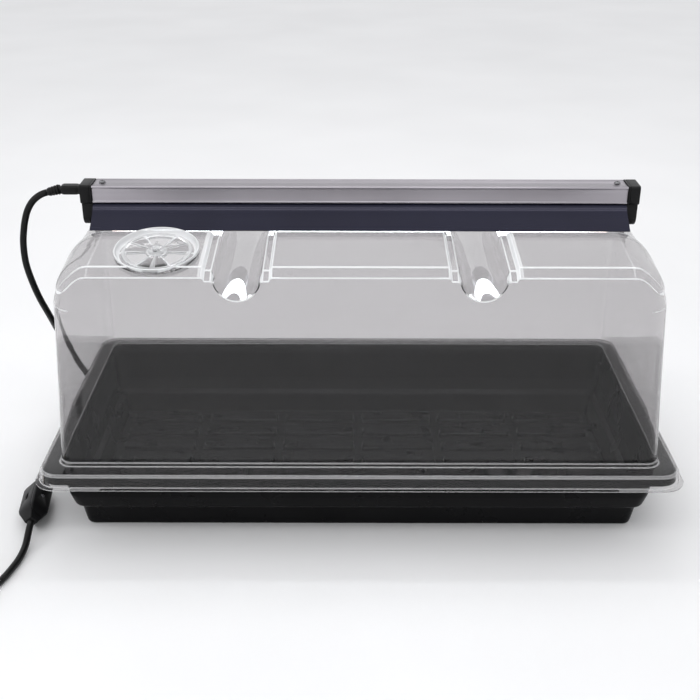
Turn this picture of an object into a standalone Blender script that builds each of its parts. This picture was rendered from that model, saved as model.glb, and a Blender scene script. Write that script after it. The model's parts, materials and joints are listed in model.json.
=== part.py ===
"""Humidity dome tray: black tray, clear vented dome, and the strip grow light that rests on it.

Frame: origin at the bottom centre of the tray, X along the tray, Y across it, Z up. Metres.
"""
import math

import bmesh
import bpy
from mathutils import Euler, Matrix, Vector

MM = 0.001
GAP = 0.3                      # air kept between touching pieces, mm

RIM_Z = 72.0                   # top of the dome's ledge, which rests on the tray's flange

# Tray, mm: half length, half width, height, corner radius of each outer ring, bottom to lip
TRAY_WALL = 1.5
TRAY_RINGS = (
    (241.5, 101.5, 0.0, 6.0),
    (243.0, 103.0, 1.2, 7.0),
    (244.0, 104.0, 5.0, 8.0),
    (246.5, 106.5, 20.5, 9.0),
    (251.5, 111.0, 23.5, 11.0),
    (255.0, 115.0, 36.0, 13.0),
    (256.6, 117.8, RIM_Z - 8.5, 14.0),
    (257.6, 119.5, RIM_Z - 4.5, 14.0),
    (259.0, 122.5, RIM_Z - 2.8, 14.0),
    (267.2, 133.0, RIM_Z - 2.8, 15.0),
    (269.0, 134.9, RIM_Z - 4.4, 16.0),
    (269.6, 135.5, RIM_Z - 10.0, 16.0),
)
RIB_WIDTH = 14.0
RIB_HEIGHT = 3.6
RIB_LENGTH = 72.0
RIB_PITCH = 28.5
RIB_COLUMN_PITCH = 80.0
RIB_ROWS = 7
RIB_COLUMNS = 6

# Dome, mm
DOME_WALL = 1.0
DOME_LIP = (278.6, 143.5, RIM_Z - 12.0, 21.0)
DOME_LIP_INNER = (275.2, 140.4, RIM_Z - 11.6, 19.0)
DOME_SKIRT_TOP = (274.0, 139.4, RIM_Z - 1.8, 18.0)
DOME_LEDGE = (272.4, 138.0, RIM_Z, 17.0)
DOME_FOOT = (259.0, 124.8, RIM_Z, 13.0)
DOME_WALL_FOOT = (257.2, 123.0, RIM_Z + 2.6, 12.0)
DOME_WALL_LOW = (254.8, 121.0, RIM_Z + 54.0, 15.0)
DOME_WALL_HIGH = (252.6, 117.3, RIM_Z + 140.0, 25.0)
DOME_TOP = (251.5, 116.0, RIM_Z + 170.8, 32.0)
END_DROP = 28.4                # how far the shoulder falls from the roof to the end wall
SHOULDER_POWER = 1.7
CORNER_POWER = 5
# Roof across the dome: distance from the middle line, height above the rim
ROOF_PROFILE = (
    (0.0, 179.2), (22.0, 179.2), (34.5, 179.8), (40.0, 182.4),
    (46.0, 182.4), (107.0, 176.4), (116.0, 170.8),
)
TROUGH_X = 99.0
TROUGH_RADIUS = 18.75
TROUGH_CENTRE_Z = RIM_Z + 169.6
TROUGH_STEPS = 8
BAND_HALF = 27.0
BAND_DEPTH = 3.0

# Vents, mm
VENT_X = 167.5
VENT_Y = 78.0
VENT_Z = RIM_Z + 177.5
VENT_TILT = 10.0
VENT_SEAT_RADIUS = 33.8
VENT_DISC_RADIUS = 28.4
VENT_OPENINGS = 3
VENT_OPENING_SPAN = 52.0
VENT_OPENING_INNER = 9.0
VENT_OPENING_OUTER = 24.8

# Light, mm
HOUSING_HALF = 232.6
HOUSING_HALF_WIDTH = 11.7
HOUSING_BOTTOM = RIM_Z + 198.0
HOUSING_TOP = RIM_Z + 213.7
HOUSING_SHEET = 1.2
CAP_END = 243.1
CAP_OVERHANG = 0.5             # how far the cap stands out beyond the housing
CAP_CORNER = 2.4
TONGUE_START = 218.0
LAMP_Z = RIM_Z + 188.6
LAMP_RADIUS = 8.0
LAMP_GLASS_HALF = 219.0
LAMP_END = 229.6
LAMP_GLASS_WALL = 0.8
HOLDER_DROP = 3.5              # how far the holder's round bottom sits below the lamp's middle
ROTOR_RADIUS = 6.2
ROTOR_NEAR = 0.6               # distances from the holder's face
ROTOR_FAR = 5.8
ROTOR_SLOT_HALF = 1.6
ROTOR_SLOT_DEPTH = 4.4
PIN_RADIUS = 1.15
PIN_LENGTH = 7.0
PIN_SPACING = 4.75
REFLECTOR_HALF = 232.4
REFLECTOR_SHEET = 0.8
# Outer side of the reflector, one half: distance from the middle line, height above the rim
REFLECTOR_PROFILE = (
    (0.0, 197.7), (10.5, 197.7), (13.2, 196.4), (15.6, 192.8),
    (20.5, 189.2), (26.0, 185.9), (31.0, 182.6), (33.6, 181.2),
)
SCREW_X = 225.0
BOARD_SPAN = (-120.0, 60.0)
BOARD_HALF_WIDTH = 9.0
BOARD_THICKNESS = 1.4
CORE_SPAN = (-60.0, -40.0)
CORE_HALF_WIDTH = 6.5
CORE_HEIGHT = 8.6
CAN_RADIUS = 4.3
CAN_LENGTH = 17.6
TONGUE_HALF = 9.9
TONGUE_BOTTOM = HOUSING_BOTTOM + HOUSING_SHEET + GAP
TONGUE_TOP = HOUSING_TOP - HOUSING_SHEET - GAP
INLET_HALF = 5.6
INLET_LOW = RIM_Z + 203.0
INLET_HIGH = RIM_Z + 211.8
INLET_DEPTH = 6.0
CONTACT_OFFSET = 2.6
CONTACT_RADIUS = 0.85
CONNECTOR_END = 261.0
RELIEF_LENGTH = 11.5
RELIEF_DROOP = 14.0           # degrees below level
CORD_EXIT_Z = RIM_Z + 207.4

# Lead, mm
CORD_RADIUS = 3.0
CORD_LIGHT_ROUTE = (
    (-274.6, 0.0, 276.3), (-279.1, 0.0, 274.8), (-284.7, -0.2, 271.4), (-289.4, -0.5, 266.7),
    (-293.0, -0.9, 260.9), (-295.6, -1.4, 254.4), (-298.0, -2.4, 245.0), (-299.6, -5.4, 231.0),
    (-298.9, -8.0, 214.0), (-296.4, -6.6, 197.0), (-293.4, 0.4, 176.0), (-291.4, 14.0, 155.0),
    (-290.8, 32.0, 132.0), (-290.6, 55.0, 105.0), (-290.4, 78.0, 79.5), (-290.0, 95.0, 60.6),
    (-289.2, 107.1, 47.2), (-287.8, 112.6, 37.7), (-286.2, 113.8, 26.7), (-284.6, 110.3, 16.3),
    (-283.2, 103.0, 8.1), (-282.4, 92.9, 3.6), (-282.6, 82.0, 3.0), (-286.5, 66.0, 3.0),
    (-292.5, 49.0, 3.0), (-298.8, 31.0, 3.0), (-303.7, 10.0, 3.0), (-304.7, -12.0, 3.4),
    (-301.9, -30.0, 7.0), (-299.1, -45.0, 11.6), (-297.3, -56.2, 12.9),
)
CORD_TAIL_ROUTE = (
    (-289.1, -122.6, 12.9), (-288.6, -132.0, 10.6), (-288.5, -146.0, 5.0), (-289.7, -161.0, 3.0),
    (-292.3, -176.0, 3.0), (-296.7, -192.0, 3.0), (-303.3, -206.0, 3.0),
)
SWITCH_REAR = (-297.2, -57.0)
SWITCH_FRONT = (-289.2, -121.8)
SWITCH_Z = 12.95
SWITCH_ROLL = 40.0             # degrees that the body is rolled onto its lower edge
SWITCH_HALF_WIDTH = 9.5
SWITCH_CORNER = 1.8
SWITCH_COVER_START = 6.6
WHEEL_RADIUS = 7.0
WHEEL_HALF_THICKNESS = 0.9
WHEEL_AT = (-1.5, 3.5)         # across and above the middle of the switch
COIL_CENTRE = (-351.7, -216.0)
COIL_TUBE = (28.0, 46.0, 0.2, 12.0)
COIL_CORNER = 2.6
PLUG_AT = (-399.3, -140.0)
PLUG_CORD_Z = 7.2              # middle of the lead where it enters the plug
PLUG_MIDDLE_Z = 11.0
# Plug body from the lead to its face: place along Y, half width, height
PLUG_STATIONS = (
    (-31.4, 4.2, 9.0), (-27.0, 5.2, 11.0), (-14.0, 8.0, 15.0), (-8.0, 11.5, 19.0),
    (2.0, 13.0, 21.0), (8.0, 12.4, 20.6),
)
BLADE_OFFSET = 6.35
BLADE_HALF_THICKNESS = 0.75
BLADE_HEIGHTS = (10.6, 17.0)
BLADE_TIP = 26.0
GROUND_PIN_RADIUS = 2.4
GROUND_PIN_LENGTH = 19.0
GROUND_PIN_Z = 5.6
CORD_END_ROUTE = (
    (-394.8, -191.6, 5.5), (-396.0, -187.4, 5.2), (-397.3, -182.6, 5.7), (-398.5, -177.4, 6.7),
    (-399.3, -172.7, 7.2),
)


# ---------------------------------------------------------------- scene and materials

def clear_scene():
    for old in list(bpy.data.objects):
        bpy.data.objects.remove(old, do_unlink=True)


def make_material(name, colour, roughness, metallic=0.0, transmission=0.0):
    material = bpy.data.materials.new(name)
    material.use_nodes = True
    shader = material.node_tree.nodes["Principled BSDF"]
    shader.inputs["Base Color"].default_value = (*colour, 1.0)
    shader.inputs["Roughness"].default_value = roughness
    shader.inputs["Metallic"].default_value = metallic
    shader.inputs["Transmission Weight"].default_value = transmission
    return material


def make_materials():
    return {
        "tray_black": make_material("tray_black", (0.012, 0.012, 0.013), 0.25),
        "clear_plastic": make_material("clear_plastic", (0.95, 0.96, 0.96), 0.05, 0.0, 0.9),
        "aluminium": make_material("aluminium", (0.72, 0.73, 0.75), 0.3, 1.0),
        "reflector": make_material("reflector", (0.05, 0.05, 0.075), 0.28, 0.4),
        "black_plastic": make_material("black_plastic", (0.015, 0.015, 0.016), 0.4),
        "lamp_glass": make_material("lamp_glass", (0.95, 0.96, 1.0), 0.3),
        "steel": make_material("steel", (0.6, 0.6, 0.6), 0.3, 1.0),
        "brass": make_material("brass", (0.7, 0.55, 0.25), 0.3, 1.0),
        "circuit_board": make_material("circuit_board", (0.05, 0.2, 0.09), 0.6),
        "copper": make_material("copper", (0.6, 0.3, 0.15), 0.4, 1.0),
        "white_plastic": make_material("white_plastic", (0.8, 0.8, 0.78), 0.4),
        "cord_black": make_material("cord_black", (0.02, 0.02, 0.02), 0.5),
    }


# ---------------------------------------------------------------- mesh helpers

def add_object(name, mesh, material=None, parent=None):
    obj = bpy.data.objects.new(name, mesh)
    bpy.context.scene.collection.objects.link(obj)
    if material is not None:
        mesh.materials.clear()
        mesh.materials.append(material)
    if parent is not None:
        obj.parent = parent
    return obj


def mesh_from(name, bm):
    """Point every face outward, store the mesh in metres and free the bmesh."""
    bmesh.ops.recalc_face_normals(bm, faces=bm.faces)
    if bm.calc_volume(signed=True) < 0.0:
        bmesh.ops.reverse_faces(bm, faces=bm.faces)
    bmesh.ops.scale(bm, vec=(MM, MM, MM), verts=bm.verts)
    mesh = bpy.data.meshes.new(name)
    bm.to_mesh(mesh)
    bm.free()
    return mesh


def shade_round(mesh, angle=35.0):
    mesh.shade_smooth()
    mesh.set_sharp_from_angle(angle=math.radians(angle))


def loft(rings, close_start=True, close_end=True):
    """A tube through rings of equal point counts, with flat ends where asked."""
    bm = bmesh.new()
    loops = [[bm.verts.new(point) for point in ring] for ring in rings]
    count = len(rings[0])
    for lower, upper in zip(loops, loops[1:]):
        for i in range(count):
            j = (i + 1) % count
            bm.faces.new((lower[i], lower[j], upper[j], upper[i]))
    if close_start:
        bm.faces.new(list(reversed(loops[0])))
    if close_end:
        bm.faces.new(loops[-1])
    return bm


def turned(profile, segments, close=False):
    """Turn a profile of (radius, height) about Z; close joins its last ring to its first."""
    rings = []
    for radius, height in profile:
        ring = []
        for i in range(segments):
            angle = 2.0 * math.pi * i / segments
            ring.append((radius * math.cos(angle), radius * math.sin(angle), height))
        rings.append(ring)
    if not close:
        return loft(rings)
    bm = loft(rings, False, False)
    bm.verts.ensure_lookup_table()
    last = (len(profile) - 1) * segments
    for i in range(segments):
        j = (i + 1) % segments
        bm.faces.new((bm.verts[last + i], bm.verts[last + j], bm.verts[j], bm.verts[i]))
    return bm


def prism(outline, start, end, axis="Z"):
    """Extrude a 2-D outline along one axis. X takes (y, z) points, Y (x, z) and Z (x, y)."""
    place = {
        "X": lambda a, b, along: (along, a, b),
        "Y": lambda a, b, along: (a, along, b),
        "Z": lambda a, b, along: (a, b, along),
    }[axis]
    rings = [[place(a, b, along) for a, b in outline] for along in (start, end)]
    return loft(rings)


def box_outline(half_a, low, high, corner=0.0, steps=2):
    """A rectangle from -half_a to half_a and low to high, with rounded corners."""
    if corner <= 0.0:
        return [(-half_a, low), (half_a, low), (half_a, high), (-half_a, high)]
    centres = (
        (half_a - corner, low + corner, -90.0), (half_a - corner, high - corner, 0.0),
        (-half_a + corner, high - corner, 90.0), (-half_a + corner, low + corner, 180.0),
    )
    points = []
    for a, b, first in centres:
        for i in range(steps + 1):
            angle = math.radians(first + 90.0 * i / steps)
            points.append((a + corner * math.cos(angle), b + corner * math.sin(angle)))
    return points


def rounded_ring(half_x, half_y, z, corner, steps=4):
    """A rounded rectangle seen from above, at one height."""
    outline = box_outline(half_x, -half_y, half_y, corner, steps)
    return [(x, y, z) for x, y in outline]


def cutter(name, mesh, parent=None):
    obj = add_object(name, mesh, None, parent)
    obj.hide_render = True
    obj.display_type = "WIRE"
    return obj


def boolean(obj, other, operation):
    modifier = obj.modifiers.new(operation.title(), "BOOLEAN")
    modifier.operation = operation
    modifier.solver = "EXACT"
    modifier.object = other


def empty_at(name, location, rotation=(0.0, 0.0, 0.0), parent=None):
    empty = bpy.data.objects.new(name, None)
    bpy.context.scene.collection.objects.link(empty)
    empty.location = Vector(location) * MM
    empty.rotation_euler = Euler([math.radians(angle) for angle in rotation])
    empty.parent = parent
    return empty


def smooth_points(route, spacing):
    """Points about evenly spaced on a smooth curve through the route's own points."""
    points = [Vector(point) for point in route]
    padded = [2 * points[0] - points[1], *points, 2 * points[-1] - points[-2]]
    fine = []
    for i in range(1, len(padded) - 2):
        before, here, there, after = padded[i - 1:i + 3]
        for k in range(16):
            t = k / 16
            fine.append(0.5 * (
                2 * here + (there - before) * t
                + (2 * before - 5 * here + 4 * there - after) * t ** 2
                + (3 * here - before - 3 * there + after) * t ** 3))
    fine.append(points[-1])
    lengths = [0.0]
    for first, second in zip(fine, fine[1:]):
        lengths.append(lengths[-1] + (second - first).length)
    count = max(2, round(lengths[-1] / spacing))
    result = []
    index = 0
    for k in range(count + 1):
        target = lengths[-1] * k / count
        while index < len(fine) - 2 and lengths[index + 1] < target:
            index += 1
        span = lengths[index + 1] - lengths[index]
        result.append(fine[index].lerp(fine[index + 1], (target - lengths[index]) / span))
    return result


# ---------------------------------------------------------------- tray

def make_tray(materials):
    rings = [rounded_ring(*ring) for ring in TRAY_RINGS]
    bm = loft(rings, close_start=True, close_end=False)
    mesh = mesh_from("tray_shell", bm)
    tray = add_object("tray_shell", mesh, materials["tray_black"])
    wall = tray.modifiers.new("Wall", "SOLIDIFY")
    wall.thickness = TRAY_WALL * MM
    wall.offset = -1.0
    wall.use_even_offset = True
    boolean(tray, make_tray_ribs(), "UNION")
    shade_round(mesh)


def make_tray_ribs():
    """Low ribs across the floor, in columns with drain channels between them."""
    bm = bmesh.new()
    for column in range(RIB_COLUMNS):
        middle = (column - (RIB_COLUMNS - 1) / 2) * RIB_COLUMN_PITCH
        for row in range(RIB_ROWS):
            y = (row - (RIB_ROWS - 1) / 2) * RIB_PITCH
            centre = Vector((middle, y, TRAY_WALL + RIB_HEIGHT / 2 - GAP))
            size = (RIB_LENGTH, RIB_WIDTH, RIB_HEIGHT + GAP)
            place = Matrix.Translation(centre) @ Matrix.Diagonal((*size, 1.0))
            bmesh.ops.create_cube(bm, size=1.0, matrix=place)
    return cutter("tray_ribs", mesh_from("tray_ribs", bm))


# ---------------------------------------------------------------- dome

def roof_height(y):
    """Height of the roof at a distance from the middle line."""
    distance = abs(y)
    for (y0, z0), (y1, z1) in zip(ROOF_PROFILE, ROOF_PROFILE[1:]):
        if distance <= y1:
            return RIM_Z + z0 + (z1 - z0) * (distance - y0) / (y1 - y0)
    return RIM_Z + ROOF_PROFILE[-1][1]


def shoulder_drop(inset, corner):
    """How far the shoulder has fallen at a distance in from the end wall."""
    t = min(1.0, max(0.0, 1.0 - inset / corner))
    return END_DROP * (1.0 - (1.0 - t ** SHOULDER_POWER) ** (1.0 / SHOULDER_POWER))


def dome_height(x, y):
    """Height of the dome's top before the troughs are pressed into it."""
    half_x, half_y, _, corner = DOME_TOP
    over_x = abs(x) - (half_x - corner)
    over_y = abs(y) - (half_y - corner)
    if over_x <= 0.0:
        return roof_height(y)
    if over_y <= 0.0:
        return roof_height(y) - shoulder_drop(corner - over_x, corner)
    inset = corner - math.hypot(over_x, over_y)
    share = math.sin(math.atan2(over_y, over_x)) ** CORNER_POWER
    start = roof_height(half_y - corner)
    side = roof_height(half_y - max(0.0, inset))
    return start + share * (side - start) - (1.0 - share) * shoulder_drop(inset, corner)


def trough_lines():
    """Lines across the dome at one trough: distance from its middle, and its depth rule."""
    lines = [(BAND_HALF + 0.6, "roof"), (BAND_HALF - 0.4, "band"), (TROUGH_RADIUS + 0.8, "band")]
    for k in range(TROUGH_STEPS // 2 + 1):
        angle = math.pi * k / TROUGH_STEPS
        lines.append((TROUGH_RADIUS * math.cos(angle), TROUGH_CENTRE_Z
                      - TROUGH_RADIUS * math.sin(angle)))
    return lines


def column_lines():
    """The grid's lines along X, as (x in the straight part, or share of the corner, rule)."""
    half = [(0.0, "roof")]
    shape = trough_lines()
    half += [(TROUGH_X - offset, rule) for offset, rule in shape]
    half += [(TROUGH_X + offset, rule) for offset, rule in reversed(shape[:-1])]
    half += [(150.0, "roof"), (190.0, "roof")]
    half.append((DOME_TOP[0] - DOME_TOP[3], "roof"))
    half += [(("corner", share), "roof") for share in (0.3, 0.55, 0.75, 0.9, 1.0)]
    return mirrored_lines(half)


def row_lines():
    """The grid's lines along Y, given as column_lines gives them."""
    straight = DOME_TOP[1] - DOME_TOP[3]
    half = [(distance, "roof") for distance, _ in ROOF_PROFILE if distance < straight]
    half.append((straight, "roof"))
    crease = (ROOF_PROFILE[-2][0] - straight) / DOME_TOP[3]
    half += [(("corner", share), "roof") for share in (0.35, crease, 1.0)]
    return mirrored_lines(half)


def mirrored_lines(half):
    lines = [(place, -1, rule) for place, rule in reversed(half[1:])]
    return lines + [(place, 1, rule) for place, rule in half]


def plan_point(column, row, ring):
    """Where a grid crossing lies in a rounded rectangle, seen from above."""
    half_x, half_y, _, corner = ring
    (x_place, x_side, _), (y_place, y_side, _) = column, row
    x_corner = isinstance(x_place, tuple)
    y_corner = isinstance(y_place, tuple)
    u = x_place[1] if x_corner else 0.0
    v = y_place[1] if y_corner else 0.0
    x = half_x - corner if x_corner else x_place
    y = half_y - corner if y_corner else y_place
    if x_corner:
        x += corner * u * math.sqrt(1.0 - v * v / 2.0)
    if y_corner:
        y += corner * v * math.sqrt(1.0 - u * u / 2.0)
    return x_side * x, y_side * y


def top_height(column, x, y):
    """Height of the pressed top at a grid line."""
    rule = column[2]
    if rule == "roof":
        return dome_height(x, y)
    if rule == "band":
        return dome_height(x, y) - BAND_DEPTH
    return rule


def make_dome(materials, parent):
    columns = column_lines()
    rows = row_lines()
    bm = bmesh.new()
    grid = []
    for column in columns:
        line = []
        for row in rows:
            x, y = plan_point(column, row, DOME_TOP)
            z = top_height(column, x, y)
            if row[0] == ("corner", 1.0):
                lower = (DOME_TOP[2] - z) / (DOME_TOP[2] - DOME_WALL_HIGH[2])
                y += math.copysign((DOME_WALL_HIGH[1] - DOME_TOP[1]) * max(0.0, lower), y)
            line.append(bm.verts.new((x, y, z)))
        grid.append(line)
    for i in range(len(columns) - 1):
        for j in range(len(rows) - 1):
            bm.faces.new((grid[i][j], grid[i + 1][j], grid[i + 1][j + 1], grid[i][j + 1]))
    edge = perimeter(len(columns), len(rows))
    loop = [grid[i][j] for i, j in edge]
    for ring in (DOME_WALL_HIGH, DOME_WALL_LOW, DOME_WALL_FOOT, DOME_FOOT, DOME_LEDGE,
                 DOME_SKIRT_TOP, DOME_LIP_INNER, DOME_LIP):
        lower = []
        for i, j in edge:
            x, y = plan_point(columns[i], rows[j], ring)
            lower.append(bm.verts.new((x, y, ring[2])))
        for k in range(len(edge)):
            n = (k + 1) % len(edge)
            bm.faces.new((loop[k], loop[n], lower[n], lower[k]))
        loop = lower
    mesh = mesh_from("dome_shell", bm)
    dome = add_object("dome_shell", mesh, materials["clear_plastic"], parent)
    wall = dome.modifiers.new("Wall", "SOLIDIFY")
    wall.thickness = DOME_WALL * MM
    wall.offset = -1.0
    wall.use_even_offset = True
    for name, side in (("front", -1), ("rear", 1)):
        seat_hole, seat = make_vent_seat(name, side)
        boolean(dome, seat_hole, "DIFFERENCE")
        boolean(dome, seat, "UNION")
    shade_round(mesh)


def perimeter(columns, rows):
    """Grid crossings around the edge of the top, in order."""
    edge = [(i, 0) for i in range(columns - 1)]
    edge += [(columns - 1, j) for j in range(rows - 1)]
    edge += [(i, rows - 1) for i in range(columns - 1, 0, -1)]
    edge += [(0, j) for j in range(rows - 1, 0, -1)]
    return edge


# ---------------------------------------------------------------- vents

def vent_frame(side):
    """Placement of a vent: its middle on the roof, tipped toward the nearer long side."""
    tilt = Matrix.Rotation(math.radians(-side * VENT_TILT), 4, "X")
    return Matrix.Translation(Vector((side * VENT_X, side * VENT_Y, VENT_Z))) @ tilt


def sector_prism(bm, middle, low, high, inner, outer):
    """Add the solid of one ring sector to bm."""
    steps = 4
    span = VENT_OPENING_SPAN
    outline = []
    for radius, order in ((outer, range(steps + 1)), (inner, range(steps, -1, -1))):
        for i in order:
            angle = math.radians(middle - span / 2 + span * i / steps)
            outline.append((radius * math.cos(angle), radius * math.sin(angle)))
    lower = [bm.verts.new((x, y, low)) for x, y in outline]
    upper = [bm.verts.new((x, y, high)) for x, y in outline]
    bm.faces.new(list(reversed(lower)))
    bm.faces.new(upper)
    for i in range(len(outline)):
        j = (i + 1) % len(outline)
        bm.faces.new((lower[i], lower[j], upper[j], upper[i]))


def make_sectors(name, low, high):
    bm = bmesh.new()
    for k in range(VENT_OPENINGS):
        sector_prism(bm, 90.0 + 360.0 * k / VENT_OPENINGS, low, high,
                     VENT_OPENING_INNER, VENT_OPENING_OUTER)
    return cutter(name, mesh_from(name, bm))


def make_vent_seat(name, side):
    """The round seat in the roof: a collar, a floor with openings and a middle hole."""
    place = vent_frame(side)
    hole = cutter(f"vent_hole_{name}", mesh_from("vent_hole", turned(
        [(VENT_SEAT_RADIUS, -14.0), (VENT_SEAT_RADIUS, 14.0)], 32)))
    collar_outer = VENT_SEAT_RADIUS + 1.2
    profile = [
        (2.6, 0.0), (VENT_SEAT_RADIUS, 0.0), (VENT_SEAT_RADIUS, 4.6), (collar_outer, 4.6),
        (collar_outer, -3.4), (VENT_SEAT_RADIUS, -3.4), (VENT_SEAT_RADIUS, -DOME_WALL),
        (2.6, -DOME_WALL),
    ]
    seat = cutter(f"vent_seat_{name}", mesh_from("vent_seat", turned(profile, 32, close=True)))
    openings = make_sectors(f"vent_seat_openings_{name}", -6.0, 6.0)
    boolean(seat, openings, "DIFFERENCE")
    for piece in (hole, seat, openings):
        piece.matrix_world = scaled(place)
    return hole, seat


def scaled(matrix):
    """The same placement with its offset in metres."""
    result = matrix.copy()
    result.translation *= MM
    return result


def make_vents(materials, pivots):
    for name, side in (("front", -1), ("rear", 1)):
        pivot = pivots[name]
        disc_profile = [
            (2.6, GAP), (VENT_DISC_RADIUS, GAP), (VENT_DISC_RADIUS + 0.8, 1.0),
            (VENT_DISC_RADIUS, 1.9), (6.5, 1.9), (6.5, 4.2), (2.6, 4.2),
        ]
        mesh = mesh_from("vent_disc", turned(disc_profile, 32, close=True))
        disc = add_object(f"vent_disc_{name}", mesh, materials["clear_plastic"], pivot)
        openings = make_sectors(f"vent_disc_openings_{name}", -1.0, 3.0)
        openings.parent = pivot
        boolean(disc, openings, "DIFFERENCE")
        shade_round(mesh)
        make_vent_grip(name, disc, pivot)
        make_vent_rivet(name, materials, pivots[f"{name}_seat"])


def make_vent_grip(name, disc, pivot):
    """A raised bar across the hub, to turn the disc by."""
    outline = box_outline(1.5, 4.0, 7.2)
    bar = prism(outline, 3.9, 6.2, "Y")
    other = prism(outline, -6.2, -3.9, "Y")
    for index, bm in enumerate((bar, other)):
        grip = cutter(f"vent_grip_{name}_{index}", mesh_from("vent_grip", bm), pivot)
        boolean(disc, grip, "UNION")


def make_vent_rivet(name, materials, seat):
    """A snap rivet through the disc and the seat, which the disc turns on."""
    profile = [(2.2, -4.4), (3.6, -3.0), (3.6, -1.3), (2.2, -1.3), (2.2, 4.6), (3.4, 4.6), (2.6, 5.8)]
    mesh = mesh_from("vent_rivet", turned(profile, 12))
    add_object(f"vent_rivet_{name}", mesh, materials["clear_plastic"], seat)
    shade_round(mesh)


# ---------------------------------------------------------------- light

def make_housing(materials, parent):
    """An open aluminium box section, with a screw hole in its top near each end."""
    outer = box_outline(HOUSING_HALF_WIDTH, HOUSING_BOTTOM, HOUSING_TOP, 1.6)
    inner = box_outline(HOUSING_HALF_WIDTH - HOUSING_SHEET, HOUSING_BOTTOM + HOUSING_SHEET,
                        HOUSING_TOP - HOUSING_SHEET, 0.8)
    bm = bmesh.new()
    rings = []
    for x in (-HOUSING_HALF, HOUSING_HALF):
        rings.append(([bm.verts.new((x, y, z)) for y, z in outer],
                      [bm.verts.new((x, y, z)) for y, z in inner]))
    (outer_a, inner_a), (outer_b, inner_b) = rings
    for i in range(len(outer)):
        j = (i + 1) % len(outer)
        bm.faces.new((outer_a[i], outer_a[j], outer_b[j], outer_b[i]))
        bm.faces.new((inner_a[j], inner_a[i], inner_b[i], inner_b[j]))
        bm.faces.new((outer_a[j], outer_a[i], inner_a[i], inner_a[j]))
        bm.faces.new((outer_b[i], outer_b[j], inner_b[j], inner_b[i]))
    mesh = mesh_from("light_housing", bm)
    housing = add_object("light_housing", mesh, materials["aluminium"], parent)
    for name, side in (("left", -1), ("right", 1)):
        hole = cutter(f"screw_hole_{name}", mesh_from("screw_hole", turned(
            [(1.8, HOUSING_TOP - 3.0), (1.8, HOUSING_TOP + 3.0)], 10)), parent)
        hole.location.x = side * SCREW_X * MM
        boolean(housing, hole, "DIFFERENCE")
    shade_round(mesh)


def make_end_caps(materials, parent):
    """Moulded end caps with a tongue inside the housing; the left one holds the inlet."""
    outline = box_outline(HOUSING_HALF_WIDTH + CAP_OVERHANG, HOUSING_BOTTOM - 0.4,
                          HOUSING_TOP + CAP_OVERHANG, CAP_CORNER, 3)
    tongue_outline = box_outline(TONGUE_HALF, TONGUE_BOTTOM, TONGUE_TOP)
    for name, side in (("left", -1), ("right", 1)):
        bm = prism(outline, side * (HOUSING_HALF + GAP), side * CAP_END, "X")
        mesh = mesh_from(f"end_cap_{name}", bm)
        cap = add_object(f"end_cap_{name}", mesh, materials["black_plastic"], parent)
        tongue = cutter(f"cap_tongue_{name}", mesh_from("cap_tongue", prism(
            tongue_outline, side * TONGUE_START, side * (HOUSING_HALF + 2.0), "X")), parent)
        boolean(cap, tongue, "UNION")
        hole = cutter(f"tongue_hole_{name}", mesh_from("tongue_hole", turned(
            [(1.6, HOUSING_TOP - 9.0), (1.6, HOUSING_TOP)], 10)), parent)
        hole.location.x = side * SCREW_X * MM
        boolean(cap, hole, "DIFFERENCE")
        if side < 0:
            recess = cutter("inlet_recess", mesh_from("inlet_recess", prism(
                box_outline(INLET_HALF, INLET_LOW, INLET_HIGH, 1.5),
                -CAP_END - 1.0, -CAP_END + INLET_DEPTH, "X")), parent)
            boolean(cap, recess, "DIFFERENCE")
        shade_round(mesh)
        make_cap_screw(name, side, materials, parent)


def make_cap_screw(name, side, materials, parent):
    profile = [(1.3, HOUSING_TOP - 7.0), (1.3, HOUSING_TOP + GAP), (2.8, HOUSING_TOP + GAP),
               (2.6, HOUSING_TOP + 1.2), (1.4, HOUSING_TOP + 1.7)]
    mesh = mesh_from("housing_screw", turned(profile, 12))
    screw = add_object(f"housing_screw_{name}", mesh, materials["steel"], parent)
    screw.location.x = side * SCREW_X * MM
    shade_round(mesh)


def lampholder_outline():
    """End view of a lampholder: square shoulders and a round bottom about the lamp."""
    radius = LAMP_RADIUS + 0.6
    top = HOUSING_BOTTOM - 0.4 - GAP
    points = [(radius, top), (-radius, top)]
    for i in range(9):
        angle = math.pi + math.pi * i / 8
        points.append((radius * math.cos(angle), LAMP_Z - HOLDER_DROP + radius * math.sin(angle)))
    return points


def make_lampholders(materials, parent, lamp_pivot):
    for name, side in (("left", -1), ("right", 1)):
        bm = prism(lampholder_outline(), side * (HOUSING_HALF + GAP), side * CAP_END, "X")
        mesh = mesh_from(f"lampholder_{name}", bm)
        holder = add_object(f"lampholder_{name}", mesh, materials["black_plastic"], parent)
        radius = ROTOR_RADIUS + 0.4
        well = along_x(turned([(radius, -1.0), (radius, ROTOR_FAR + 0.6)], 16), side)
        recess = cutter(f"rotor_well_{name}", mesh_from("rotor_well", well), parent)
        recess.location = Vector((side * (HOUSING_HALF + GAP), 0.0, LAMP_Z)) * MM
        boolean(holder, recess, "DIFFERENCE")
        shade_round(mesh)
        make_rotor(name, side, materials, lamp_pivot)


def along_x(bm, side):
    """Turn a shape built along +Z so that it runs along X, outward on its own side."""
    bmesh.ops.rotate(bm, verts=bm.verts, matrix=Matrix.Rotation(side * math.pi / 2, 3, "Y"))
    return bm


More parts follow.
